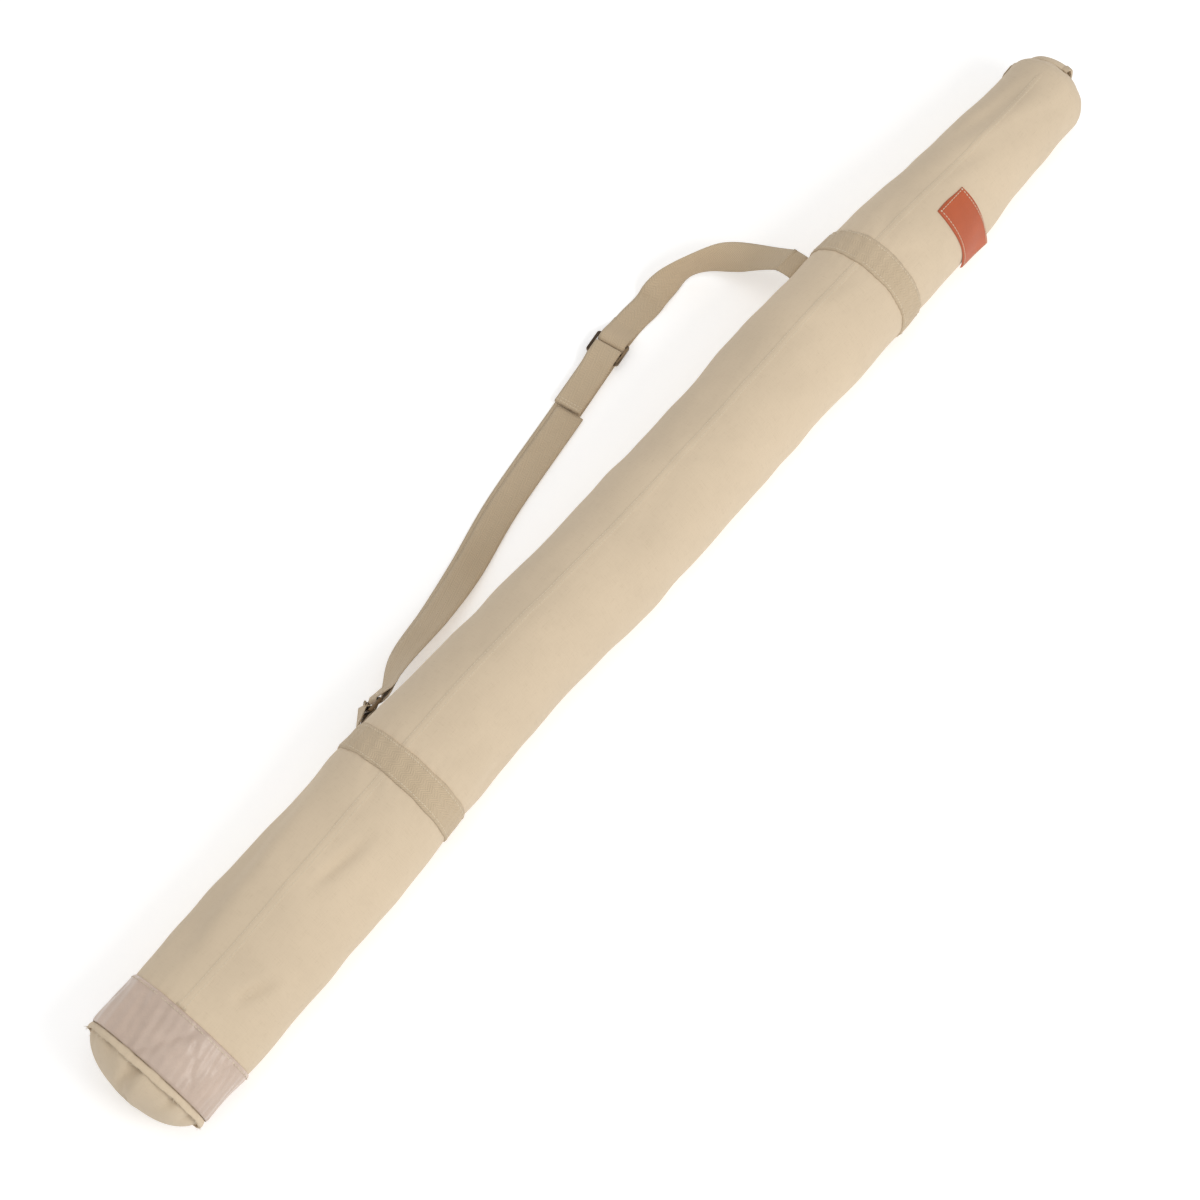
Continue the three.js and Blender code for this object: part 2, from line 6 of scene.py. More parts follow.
import bmesh
import bpy
import numpy as np
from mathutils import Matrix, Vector


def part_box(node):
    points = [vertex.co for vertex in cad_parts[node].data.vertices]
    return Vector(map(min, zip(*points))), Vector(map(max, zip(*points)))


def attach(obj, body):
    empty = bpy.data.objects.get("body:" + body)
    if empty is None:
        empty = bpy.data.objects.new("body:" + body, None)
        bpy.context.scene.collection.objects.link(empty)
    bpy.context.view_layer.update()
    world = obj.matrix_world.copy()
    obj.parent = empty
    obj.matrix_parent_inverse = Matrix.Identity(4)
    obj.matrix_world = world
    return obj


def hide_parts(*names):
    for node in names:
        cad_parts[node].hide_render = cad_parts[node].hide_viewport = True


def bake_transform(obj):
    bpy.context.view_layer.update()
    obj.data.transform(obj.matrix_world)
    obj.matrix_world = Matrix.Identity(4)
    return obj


MM = 0.001
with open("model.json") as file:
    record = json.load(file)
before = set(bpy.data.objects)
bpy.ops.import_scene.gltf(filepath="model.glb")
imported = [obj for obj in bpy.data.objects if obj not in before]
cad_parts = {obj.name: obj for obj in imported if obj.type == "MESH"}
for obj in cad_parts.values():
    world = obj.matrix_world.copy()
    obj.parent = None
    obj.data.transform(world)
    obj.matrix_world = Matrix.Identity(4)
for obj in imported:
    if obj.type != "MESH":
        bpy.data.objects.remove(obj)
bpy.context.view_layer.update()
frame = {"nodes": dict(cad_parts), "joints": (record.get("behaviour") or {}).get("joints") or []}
rng = np.random.default_rng(11)

JOINTS = {joint["name"]: joint for joint in frame["joints"]}


def span(node, axis=0):
    low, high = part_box(node)
    return low[axis], high[axis]


def middle(node):
    low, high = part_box(node)
    return (Vector(low) + Vector(high)) / 2


TUBE_START, TUBE_END = span("canvas_tube")
HEM_START = span("padding_sleeve")[1]
TRIM_START, TRIM_END = span("butt_trim_band")
LOWER_BAND = span("lower_webbing_band")
UPPER_BAND = span("upper_webbing_band")
BAND_WIDTH = LOWER_BAND[1] - LOWER_BAND[0]

# ---------------------------------------------------------------- the soft tube's surface

FACET = math.cos(math.pi / 28)  # the CAD tube has 28 facets
SAG = 2.5 * MM  # the underside would hang this far below the floor, and flattens on it
FLOOR_GAP = 0.3 * MM
RADIUS = 50.5 * MM  # for turning angles round the tube into lengths
SEAM_ANGLE = math.radians(86)
BAND_LIFT = 2.9 * MM
TRIM_LIFT = 1.8 * MM
PLACES = np.arange(-0.63, 0.63, 2 * MM)  # along the whole case and a little past its ends


def smoothed(values, spread):
    """The values run through a bell-shaped average, spread samples wide."""
    reach = 3 * spread
    bell = np.exp(-0.5 * (np.arange(-reach, reach + 1) / spread) ** 2)
    return np.convolve(np.pad(values, reach, mode="edge"), bell / bell.sum(), mode="valid")


def vertices_of(node):
    mesh = frame["nodes"][node].data
    cloud = np.empty(3 * len(mesh.vertices), dtype=np.float32)
    mesh.vertices.foreach_get("co", cloud)
    return cloud.reshape(-1, 3).astype(float)


def tube_profile():
    """The tube's half-width and middle height along it, eased over the CAD tube's bends."""
    cloud = vertices_of("canvas_tube")
    stations = np.unique(cloud[:, 0].round(5))
    stations = stations[stations < HEM_START + MM]
    half, top = [], []
    for x in stations:
        ring = cloud[abs(cloud[:, 0] - x) < 2e-5]
        half.append(abs(ring[:, 1]).max() / FACET)
        top.append(ring[:, 2].max())
    half = np.interp(PLACES, stations, half)
    height = (np.interp(PLACES, stations, top) - SAG) / 2
    return smoothed(half, 9), smoothed(height, 9)


HALF, HEIGHT = tube_profile()

# How the lying case wanders to its sides: place along it and shift, in mm.
WANDER = np.array(
    [
        (-600, -4),
        (-520, -2),
        (-425, 0),
        (-275, 2.8),
        (-175, 2.5),
        (-25, -3),
        (60, -3.4),
        (220, -1.4),
        (425, -4.6),
        (600, -3.2),
    ]
) * MM
SIDE = smoothed(np.interp(PLACES, WANDER[:, 0], WANDER[:, 1]), 14)

# Slow waves in the padded canvas: radians per metre, turns round the tube, phase, height in mm.
WAVES = [
    (27, 2, 1.2, 0.55),
    (41, -1, 0.4, 0.5),
    (66, -3, 2.1, 0.34),
    (93, 2, 4.0, 0.3),
    (137, -4, 5.2, 0.16),
    (171, 5, 0.9, 0.12),
]

# Folds and hollows: place along, angle round, reach, heading, height and width, in mm and degrees.
FOLDS = [
    (-362, 105, 26, 8, -2.3, 4.5),
    (-352, 118, 34, 6, 1.1, 10),
    (-479, 121, 15, 24, -2.1, 4),
    (-476, 133, 22, 18, 1.0, 8),
    (-415, 58, 85, -7, 1.5, 12),
    (-425, 38, 90, -6, -1.8, 13),
    (-300, 84, 16, -35, -0.9, 7),
    (-316, 106, 20, 40, 0.7, 8),
    (-235, 128, 26, 24, -1.0, 9),
    (-190, 172, 22, 12, 1.6, 14),
    (-228, 172, 16, -10, -1.6, 9),
    (-150, 92, 60, 9, 0.9, 12),
    (-110, 66, 70, 5, -1.1, 13),
    (-30, 128, 95, 3, 0.7, 14),
    (20, 100, 36, -12, -0.7, 9),
    (81, 100, 15, 50, -1.1, 6),
    (96, 112, 24, 32, 0.7, 8),
    (150, 64, 60, -8, -1.1, 13),
    (205, 122, 40, 14, -0.8, 11),
    (258, 95, 34, 18, 0.9, 8),
    (345, 120, 22, 32, -0.9, 7),
    (352, 78, 24, -24, -0.8, 8),
    (440, 88, 38, 16, -0.9, 9),
    (505, 92, 42, 15, 1.3, 10),
    (508, 68, 44, 12, -1.7, 11),
    (548, 128, 24, 24, -0.8, 8),
    (-547, 104, 30, 74, 0.9, 9),
    (-536, 132, 18, 60, -0.6, 9),
    (-540, 60, 20, -64, -0.6, 10),
]
FOLD_STRENGTH = 1.5  # all the folds are this much deeper than listed


def along_case(x, values):
    return np.interp(x, PLACES, values)


def wrapped(angle):
    return (angle + np.pi) % (2 * np.pi) - np.pi


def folds(x, angle):
    """The listed folds and hollows, each a soft-ended ridge along its own heading."""
    total = np.zeros_like(x)
    for place, turn, reach, heading, height, width in FOLDS:
        u = x - place * MM
        s = wrapped(angle - math.radians(turn)) * RADIUS
        c, n = math.cos(math.radians(heading)), math.sin(math.radians(heading))
        run = (u * c + s * n) / (reach * MM)
        off = (s * c - u * n) / (width * MM)
        total += FOLD_STRENGTH * height * MM * np.exp(-(run**4) - off**2)
    return total


def waves(x, angle):
    total = np.zeros_like(x)
    for rate, turns, phase, height in WAVES:
        total += height * MM * np.sin(rate * x + turns * angle + phase)
    return total


def puckers(x, angle):
    """Small gathers in the canvas beside each sewn band."""
    total = np.zeros_like(x)
    for number, (low, high) in enumerate([LOWER_BAND, UPPER_BAND, (TRIM_START, TRIM_END)]):
        off = np.maximum(np.maximum(low - x, x - high), 0)
        gather = np.sin(37 * angle + 5 * np.sin(2 * angle + number) + 90 * x)
        total += (0.28 * gather - 0.5) * MM * np.exp(-off / (7 * MM))
    return total


def pressed(x):
    """How far the bands and the trim push the underside up from the floor."""
    total = np.zeros_like(x)
    allowance = span("end_seam_allowance")[0]
    zones = [(*LOWER_BAND, BAND_LIFT), (*UPPER_BAND, BAND_LIFT), (allowance, TRIM_END, TRIM_LIFT)]
    for low, high, depth in zones:
        off = np.maximum(np.maximum(low - x, x - high) - 1.2 * MM, 0)
        total = np.maximum(total, depth * np.clip(1 - off / (3 * MM), 0, 1))
    return total


def on_case(x, angle, lift=0.0, share=1.0):
    """Points of the soft case. lift is the height over the canvas, share how near the axis end a dome is."""
    x, angle, lift, share = np.broadcast_arrays(*map(np.asarray, (x, angle, lift, share)))
    x = x.astype(float)
    bump = waves(x, angle) + folds(x, angle) + puckers(x, angle)
    half = along_case(x, HALF)
    height = along_case(x, HEIGHT)
    y = (half + lift + bump) * np.cos(angle)
    z = height + (height + SAG + lift + bump) * np.sin(angle)
    floor = FLOOR_GAP + pressed(x) - lift
    over = z - floor
    z = floor + (over + np.sqrt(over**2 + (1.5 * MM) ** 2)) / 2
    y = y * share + along_case(x, SIDE)
    z = height + (z - height) * share
    return np.stack([x, y, z], axis=-1)


def normals_at(x, angle, lift=0.0):
    inner = on_case(x, angle, lift)
    outer = on_case(x, angle, np.asarray(lift) + MM)
    normal = outer - inner
    return normal / np.linalg.norm(normal, axis=-1, keepdims=True)


# ---------------------------------------------------------------- ways of making a mesh


def finish_piece(obj, material, body=None, replaced=()):
    obj.data.materials.clear()
    obj.data.materials.append(material)
    if body:
        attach(obj, body)
    if replaced:
        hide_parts(*replaced)
    return obj


def grid_object(name, points, u, v, close_rows=False, close_cols=False, caps=False):
    """A smooth mesh over a grid of points. u and v are its distances along rows and columns, in metres."""
    rows, cols = points.shape[:2]
    i = np.arange(rows if close_rows else rows - 1)
    j = np.arange(cols if close_cols else cols - 1)
    ii, jj = (part.ravel() for part in np.meshgrid(i, j, indexing="ij"))
    ni, nj = (ii + 1) % rows, (jj + 1) % cols
    quads = np.stack([ii * cols + jj, ni * cols + jj, ni * cols + nj, ii * cols + nj], axis=1)
    u = np.append(u, u[-1] + (u[-1] - u[-2]))
    v = np.append(v, v[-1] + (v[-1] - v[-2]))
    uvs = np.stack(
        [u[np.stack([ii, ii + 1, ii + 1, ii], axis=1)], v[np.stack([jj, jj, jj + 1, jj + 1], axis=1)]],
        axis=-1,
    )
    faces = quads.tolist()
    uvs = uvs.reshape(-1, 2)
    if caps:
        faces.append(list(range(cols)))
        faces.append([(rows - 1) * cols + k for k in range(cols)][::-1])
        uvs = np.vstack([uvs, np.zeros((2 * cols, 2))])
    mesh = bpy.data.meshes.new(name)
    mesh.from_pydata(points.reshape(-1, 3).tolist(), [], faces)
    mesh.uv_layers.new(name="UVMap").data.foreach_set("uv", uvs.ravel())
    mesh.polygons.foreach_set("use_smooth", [True] * len(mesh.polygons))
    outward(mesh)
    obj = bpy.data.objects.new(name, mesh)
    bpy.context.scene.collection.objects.link(obj)
    return obj


def outward(mesh):
    work = bmesh.new()
    work.from_mesh(mesh)
    bmesh.ops.recalc_face_normals(work, faces=work.faces)
    work.to_mesh(mesh)
    work.free()


def modified(obj, kind, **settings):
    modifier = obj.modifiers.new(kind.title(), kind)
    for key, value in settings.items():
        setattr(modifier, key, value)
    return obj


def applied(obj):
    """The object with its modifiers made permanent."""
    graph = bpy.context.evaluated_depsgraph_get()
    mesh = bpy.data.meshes.new_from_object(obj.evaluated_get(graph))
    obj.modifiers.clear()
    obj.data = mesh
    return obj


def around(count):
    return np.arange(count) * 2 * np.pi / count


def sleeve(name, outer, inner, count=160):
    """A closed sleeve wall. outer and inner are (places along, lifts) pairs, and a lift may be a function."""
    angles = around(count)
    grids, u = [], []
    for places, lift in (outer, (inner[0][::-1], inner[1])):
        x, a = np.meshgrid(places, angles, indexing="ij")
        grids.append(on_case(x, a, lift(x, a)))
        u.append(places)
    u = np.concatenate(u)
    return grid_object(name, np.concatenate(grids), u, angles * RADIUS, close_rows=True, close_cols=True)


def steps(low, high, pitch):
    return np.linspace(low, high, max(2, int(round((high - low) / pitch)) + 1))


def level(value):
    return lambda x, a: np.full_like(x, value)


def laid_strip(name, places, section):
    """A strip on the case: section(x) gives the angles and lifts of its closed outline at each place."""
    rows = []
    for x in places:
        angle, lift = section(x)
        rows.append(on_case(np.full_like(angle, x), angle, lift))
    angle, _ = section(places[0])
    return grid_object(name, np.array(rows), places, angle * RADIUS, close_cols=True, caps=True)


def ribbon(name, centres, across, width, thickness, count=11):
    """Webbing along a line of centres, with rounded selvedges."""
    tangent = np.gradient(centres, axis=0)
    tangent /= np.linalg.norm(tangent, axis=1, keepdims=True)
    across = across - (across * tangent).sum(axis=1, keepdims=True) * tangent
    across /= np.linalg.norm(across, axis=1, keepdims=True)
    through = np.cross(tangent, across)
    side = np.linspace(-1, 1, count)
    round_off = np.sqrt(np.clip(1 - side**12, 0, 1)) * 0.5
    round_off[[0, -1]] = 0.12
    spread = np.concatenate([side, side[::-1]]) * width / 2
    rise = np.concatenate([round_off, -round_off[::-1]]) * thickness
    sideways = across[:, None] * spread[None, :, None]
    points = centres[:, None] + sideways + through[:, None] * rise[None, :, None]
    lengths = np.concatenate([[0], np.cumsum(np.linalg.norm(np.diff(centres, axis=0), axis=1))])
    return grid_object(name, points, lengths, spread, close_cols=True, caps=True)


def smooth_line(points, per_gap):
    """A smooth line through the points, as an array."""
    points = np.asarray(points, dtype=float)
    ends = np.vstack([2 * points[0] - points[1], points, 2 * points[-1] - points[-2]])
    line = []
    for k in range(1, len(ends) - 2):
        a, b, c, d = ends[k - 1 : k + 3]
        for t in np.arange(per_gap) / per_gap:
            square = (2 * a - 5 * b + 4 * c - d) * t**2
            cube = (3 * b - a - 3 * c + d) * t**3
            line.append(0.5 * (2 * b + (c - a) * t + square + cube))
    line.append(points[-1])
    return np.array(line)


def evenly(line, pitch):
    """The line respaced at an even pitch, together with any values carried beside its points."""
    lengths = np.concatenate([[0], np.cumsum(np.linalg.norm(np.diff(line[:, :3], axis=0), axis=1))])
    count = max(2, int(round(lengths[-1] / pitch)) + 1)
    want = np.linspace(0, lengths[-1], count)
    return np.stack([np.interp(want, lengths, line[:, k]) for k in range(line.shape[1])], axis=1)


def stitch_row(line, normal, pitch=3.2 * MM, size=0.28 * MM, fill=0.72):
    """The corner points and faces of a row of thread stitches along a line."""
    track = evenly(np.hstack([line, normal]), pitch)
    centre, up = track[:, :3], track[:, 3:]
    run = np.gradient(centre, axis=0)
    run /= np.linalg.norm(run, axis=1, keepdims=True)
    up = up - (up * run).sum(axis=1, keepdims=True) * run
    up /= np.linalg.norm(up, axis=1, keepdims=True)
    side = np.cross(run, up)
    points, faces = [], []
    shape = [(-0.5, 0.35), (-0.38, 0.85), (0, 1.1), (0.38, 0.85), (0.5, 0.35)]
    sides = 6
    turns = around(sides)
    for k in range(len(centre)):
        base = len(points)
        for reach, fat in shape:
            spot = centre[k] + run[k] * reach * pitch * fill
            for turn in turns:
                points.append(spot + size * fat * (side[k] * math.cos(turn) * 1.3 + up[k] * math.sin(turn)))
        for ring in range(len(shape) - 1):
            for j in range(sides):
                a = base + ring * sides + j
                b = base + ring * sides + (j + 1) % sides
                faces.append((a, b, b + sides, a + sides))
        last = base + (len(shape) - 1) * sides
        faces.append(tuple(base + j for j in range(sides))[::-1])
        faces.append(tuple(last + j for j in range(sides)))
    return points, faces


def stitched(name, rows, body, material):
    """One object for several rows of stitches, each a (line, normal) pair."""
    points, faces = [], []
    for line, normal in rows:
        more, quads = stitch_row(line, normal)
        offset = len(points)
        points += more
        faces += [tuple(k + offset for k in quad) for quad in quads]
    mesh = bpy.data.meshes.new(name)
    mesh.from_pydata([tuple(p) for p in points], [], faces)
    mesh.polygons.foreach_set("use_smooth", [True] * len(mesh.polygons))
    outward(mesh)
    obj = bpy.data.objects.new(name, mesh)
    bpy.context.scene.collection.objects.link(obj)
    finish_piece(obj, material, body)
    return obj


def case_row(x, angle, lift):
    """A stitch row's line and normals on the case."""
    x, angle = np.broadcast_arrays(np.asarray(x, dtype=float), np.asarray(angle, dtype=float))
    return on_case(x, angle, lift), normals_at(x, angle, lift)


def ring_row(x, lift, count=240):
    angle = np.linspace(0, 2 * np.pi, count)
    return case_row(np.full(count, x), angle, lift)


# ---------------------------------------------------------------- materials


def new_material(name):
    material = bpy.data.materials.new(name)
    material.use_nodes = True
    tree = material.node_tree
    return material, tree, tree.nodes["Principled BSDF"]


def node(tree, kind, inputs=None, **settings):
    made = tree.nodes.new(kind)
    for key, value in settings.items():
        setattr(made, key, value)
    for key, value in (inputs or {}).items():
        if isinstance(value, bpy.types.NodeSocket):
            tree.links.new(value, made.inputs[key])
        else:
            made.inputs[key].default_value = value
    return made


def maths(tree, operation, first, second=0.0, third=0.0):
    made = node(tree, "ShaderNodeMath", {0: first, 1: second, 2: third}, operation=operation)
    return made.outputs[0]


def noise(tree, where, scale, detail=3.0, roughness=0.55):
    made = node(
        tree,
        "ShaderNodeTexNoise",
        {"Vector": where, "Scale": scale, "Detail": detail, "Roughness": roughness},
    )
    return made.outputs["Fac"]


def stretched(tree, where, *factors):
    made = node(tree, "ShaderNodeVectorMath", {0: where, 1: factors}, operation="MULTIPLY")
    return made.outputs[0]


def ramp(tree, value, stops):
    made = node(tree, "ShaderNodeValToRGB", {"Fac": value})
    band = made.color_ramp
    while len(band.elements) < len(stops):
        band.elements.new(0.5)
    for element, (place, colour) in zip(band.elements, stops):
        element.position = place
        element.color = (*colour, 1)
    return made.outputs["Color"]


def blended(tree, share, first, second, kind="MIX"):
    made = node(tree, "ShaderNodeMix", data_type="RGBA", blend_type=kind)
    for socket, value in zip((made.inputs[0], made.inputs[6], made.inputs[7]), (share, first, second)):
        if isinstance(value, bpy.types.NodeSocket):
            tree.links.new(value, socket)
        else:
            socket.default_value = value if isinstance(value, float) else (*value, 1)
    return made.outputs[2]


def bumped(tree, shader, height, distance, strength=1.0, onto=None):
    inputs = {"Height": height, "Distance": distance, "Strength": strength}
    if onto:
        inputs["Normal"] = onto
    bump = node(tree, "ShaderNodeBump", inputs)
    tree.links.new(bump.outputs[0], shader.inputs["Normal"])
    return bump.outputs[0]


def tint(colour, factor):
    return tuple(min(1.0, part * factor) for part in colour)


def uv_parts(tree):
    uv = node(tree, "ShaderNodeUVMap", uv_map="UVMap").outputs[0]
    parts = node(tree, "ShaderNodeSeparateXYZ", {0: uv})
    return uv, parts.outputs[0], parts.outputs[1]


def cloth_material(name, colour, pitch, mottle=0.05, weave=0.25):
    """Plain-woven cotton: crossing threads with slubs, slow mottling and a dry sheen."""
    material, tree, shader = new_material(name)
    uv, u, v = uv_parts(tree)
    place = node(tree, "ShaderNodeTexCoord").outputs["Object"]
    rate = 2 * math.pi / pitch
    warp = maths(tree, "SINE", maths(tree, "MULTIPLY", u, rate))
    weft = maths(tree, "SINE", maths(tree, "MULTIPLY", v, rate))
    crossing = maths(tree, "MULTIPLY", warp, weft)
    slub_u = noise(tree, stretched(tree, uv, 1, 22, 1), 90, 2)
    slub_v = noise(tree, stretched(tree, uv, 22, 1, 1), 90, 2)
    slubs = maths(tree, "ADD", slub_u, slub_v)
    broad = noise(tree, place, 7, 4)
    soil = noise(tree, place, 38, 5, 0.65)
    base = ramp(tree, broad, [(0.3, tint(colour, 1 - mottle)), (0.7, tint(colour, 1 + mottle))])
    base = blended(tree, ramp_value(tree, soil, 0.55, 0.8, 0.16), base, tint(colour, 0.8))
    threads = ramp(tree, slubs, [(0.75, (0.9, 0.89, 0.87)), (0.925, (1, 1, 1))])
    base = blended(tree, 0.8, base, threads, "MULTIPLY")
    tree.links.new(base, shader.inputs["Base Color"])
    rough = maths(tree, "MULTIPLY_ADD", slubs, -0.06, 0.97)
    tree.links.new(rough, shader.inputs["Roughness"])
    shader.inputs["Specular IOR Level"].default_value = 0.18
    shader.inputs["Sheen Weight"].default_value = 0.12
    shader.inputs["Sheen Roughness"].default_value = 0.6
    height = maths(tree, "MULTIPLY_ADD", slubs, 0.8, maths(tree, "MULTIPLY", crossing, weave))
    fine = bumped(tree, shader, height, 0.22 * MM, 0.75)
    bumped(tree, shader, soil, 0.7 * MM, 0.35, fine)
    return material


def ramp_value(tree, value, low, high, top):
    """A share that rises from 0 to top as value goes from low to high."""
    made = node(
        tree,
        "ShaderNodeMapRange",
        {"Value": value, "From Min": low, "From Max": high, "To Min": 0.0, "To Max": top},
    )
    return made.outputs[0]


def webbing_material(name, colour):
    """Herringbone cotton webbing: ribs that lean one way and then the other across its width."""
    material, tree, shader = new_material(name)
    uv, u, v = uv_parts(tree)
    place = node(tree, "ShaderNodeTexCoord").outputs["Object"]
    fold = maths(tree, "PINGPONG", v, 4.4 * MM)
    slant = maths(tree, "MULTIPLY_ADD", fold, 1.15, u)
    rib = maths(tree, "SINE", maths(tree, "MULTIPLY", slant, 2 * math.pi / (1.9 * MM)))
    yarn = maths(tree, "SINE", maths(tree, "MULTIPLY", v, 2 * math.pi / (0.9 * MM)))
    fuzz = noise(tree, uv, 900, 4, 0.7)
    broad = noise(tree, place, 14, 3)
    base = ramp(tree, rib, [(0.0, tint(colour, 0.84)), (0.62, tint(colour, 1.04))])
    shade = ramp(tree, broad, [(0.3, (0.93, 0.92, 0.9)), (0.7, (1, 1, 1))])
    base = blended(tree, 1.0, base, shade, "MULTIPLY")
    base = blended(tree, ramp_value(tree, fuzz, 0.5, 0.8, 0.25), base, tint(colour, 1.12))
    tree.links.new(base, shader.inputs["Base Color"])
    shader.inputs["Roughness"].default_value = 0.93
    shader.inputs["Specular IOR Level"].default_value = 0.2
    shader.inputs["Sheen Weight"].default_value = 0.15
    height = maths(tree, "MULTIPLY_ADD", rib, 0.5, maths(tree, "MULTIPLY", yarn, 0.22))
    fine = bumped(tree, shader, height, 0.3 * MM, 0.8)
    bumped(tree, shader, fuzz, 0.25 * MM, 0.5, fine)
    return material


def leather_material(name, colour, gloss, grain, wear, coat):
    """Leather: a pebbled grain, darker pores, pulled-up lighter wear, and an uneven shine."""
    material, tree, shader = new_material(name)
    place = node(tree, "ShaderNodeTexCoord").outputs["Object"]
    cells = node(tree, "ShaderNodeTexVoronoi", {"Vector": place, "Scale": grain}, feature="DISTANCE_TO_EDGE")
    pores = ramp_value(tree, cells.outputs["Distance"], 0.0, 0.16, 1.0)
    broad = noise(tree, place, 16, 5, 0.6)
    streaks = noise(tree, stretched(tree, place, 1, 1.6, 1.3), 26, 4)
    base = ramp(tree, broad, [(0.32, tint(colour, 0.84)), (0.68, tint(colour, 1.1))])
    base = blended(tree, ramp_value(tree, pores, 1.0, 0.0, 0.35), base, tint(colour, 0.6))
    base = blended(tree, ramp_value(tree, streaks, 0.56, 0.75, wear), base, tint(colour, 1.35))
    tree.links.new(base, shader.inputs["Base Color"])
    rough = maths(tree, "MULTIPLY_ADD", broad, 0.22, gloss)
    tree.links.new(rough, shader.inputs["Roughness"])
    shader.inputs["Coat Weight"].default_value = coat
    shader.inputs["Coat Roughness"].default_value = 0.3
    fine = bumped(tree, shader, pores, 0.12 * MM, 0.5)
    bumped(tree, shader, broad, 0.8 * MM, 0.4, fine)
    return material


def bronze_material():
    """Antique bronze plating: near-black brown, rubbed through to warm metal on the edges."""
    material, tree, shader = new_material("antique_bronze")
    place = node(tree, "ShaderNodeTexCoord").outputs["Object"]
    worn = node(tree, "ShaderNodeNewGeometry").outputs["Pointiness"]
    cloud = noise(tree, place, 420, 5, 0.65)
    rubbed = ramp_value(tree, worn, 0.51, 0.58, 0.8)
    patchy = ramp_value(tree, cloud, 0.58, 0.78, 0.45)
    edge = maths(tree, "ADD", rubbed, patchy)
    base = blended(tree, edge, (0.075, 0.052, 0.036), (0.34, 0.235, 0.135))
    tree.links.new(base, shader.inputs["Base Color"])
    shader.inputs["Metallic"].default_value = 0.92
    rough = maths(tree, "MULTIPLY_ADD", cloud, 0.3, 0.26)
    tree.links.new(rough, shader.inputs["Roughness"])
    bumped(tree, shader, cloud, 0.08 * MM, 0.5)
    return material


def thread_material():
    material, tree, shader = new_material("thread")
    place = node(tree, "ShaderNodeTexCoord").outputs["Object"]
    twist = node(
        tree,
        "ShaderNodeTexWave",
        {"Vector": place, "Scale": 900, "Distortion": 2.0, "Detail": 2.0},
        bands_direction="DIAGONAL",
    ).outputs["Fac"]
    base = ramp(tree, twist, [(0.2, (0.6, 0.5, 0.36)), (0.8, (0.8, 0.7, 0.54))])
    tree.links.new(base, shader.inputs["Base Color"])
    shader.inputs["Roughness"].default_value = 0.7
    bumped(tree, shader, twist, 0.1 * MM, 0.6)
    return material


def foam_material():
    material, tree, shader = new_material("padding_foam")
    place = node(tree, "ShaderNodeTexCoord").outputs["Object"]
    cells = noise(tree, place, 900, 4, 0.8)
    base = ramp(tree, cells, [(0.3, (0.5, 0.48, 0.43)), (0.7, (0.66, 0.64, 0.58))])
    tree.links.new(base, shader.inputs["Base Color"])
    shader.inputs["Roughness"].default_value = 1.0
    bumped(tree, shader, cells, 0.5 * MM, 0.8)
    return material


def floor_material():
    material, tree, shader = new_material("pale_floor")
    place = node(tree, "ShaderNodeTexCoord").outputs["Object"]
    base = ramp(tree, noise(tree, place, 2, 2), [(0.3, (0.9, 0.9, 0.9)), (0.7, (0.92, 0.92, 0.92))])
    tree.links.new(base, shader.inputs["Base Color"])
    shader.inputs["Roughness"].default_value = 0.9
    shader.inputs["Emission Color"].default_value = (1, 1, 1, 1)
    shader.inputs["Emission Strength"].default_value = 0.3
    return material


CANVAS_COLOUR = (0.66, 0.535, 0.385)
WEBBING_COLOUR = (0.655, 0.52, 0.36)
canvas_finish = cloth_material("cotton_canvas", CANVAS_COLOUR, 1.1 * MM)
lining_finish = cloth_material("brushed_lining", (0.3, 0.255, 0.19), 0.7 * MM, mottle=0.08)
webbing_finish = webbing_material("cotton_webbing", WEBBING_COLOUR)
trim_finish = leather_material("pale_trim_leather", (0.62, 0.475, 0.38), 0.2, 1500, 0.16, 0.4)
patch_finish = leather_material("orange_patch_leather", (0.52, 0.105, 0.032), 0.42, 1300, 0.15, 0.05)
bronze_finish = bronze_material()
thread_finish = thread_material()
foam_finish = foam_material()

# ---------------------------------------------------------------- the sleeve: canvas, padding, lining, seam

HEM_ROLL = 7 * MM
HEM_FOLD = 9 * MM  # the hem's turned-in canvas reaches this far back


def hem_share(x):
    return np.clip((x - HEM_START) / (TUBE_END - HEM_START), 0, 1)


def canvas_lift(x, angle):
    """The canvas drawn in at the hem, with the turned-in edge showing as a slight step."""
    folded = 0.7 * MM * np.clip((x - (TUBE_END - HEM_FOLD)) / (1.2 * MM), 0, 1)
    round_off = 0.9 * MM * np.clip((x - TUBE_END + 1.5 * MM) / (1.5 * MM), 0, 1) ** 2
    ripple = 0.4 * MM * hem_share(x) * np.sin(9 * angle + 1.5)
    return folded + ripple - round_off - HEM_ROLL * hem_share(x) ** 1.6


def make_sleeve():
    def places_along(pitch, hem_pitch):
        body = steps(TUBE_START, HEM_START, pitch)[:-1]
        return np.concatenate([body, steps(HEM_START, TUBE_END, hem_pitch)])

    outer_places = places_along(3.6 * MM, 1 * MM)
    inner_places = places_along(20 * MM, 3 * MM)
    canvas = sleeve(
        "canvas_sleeve",
        (outer_places, canvas_lift),
        (inner_places, lambda x, a: canvas_lift(x, a) - 1.2 * MM),
        168,
    )
    finish_piece(canvas, canvas_finish, "case", ["canvas_tube"])
    start, end = span("padding_sleeve")
    places = steps(start, end, 10 * MM)
    padding = sleeve("padding", (places, level(-2.0 * MM)), (places, level(-5.1 * MM)), 96)
    finish_piece(padding, foam_finish, "case", ["padding_sleeve"])
    quilt = lambda x, a: -6.1 * MM - 0.5 * MM * np.sin(6 * a + 0.4) * np.sin(50 * x)
    lining = sleeve("lining", (places, level(-5.5 * MM)), (places, quilt), 96)
    finish_piece(lining, lining_finish, "case", ["lining_sleeve"])


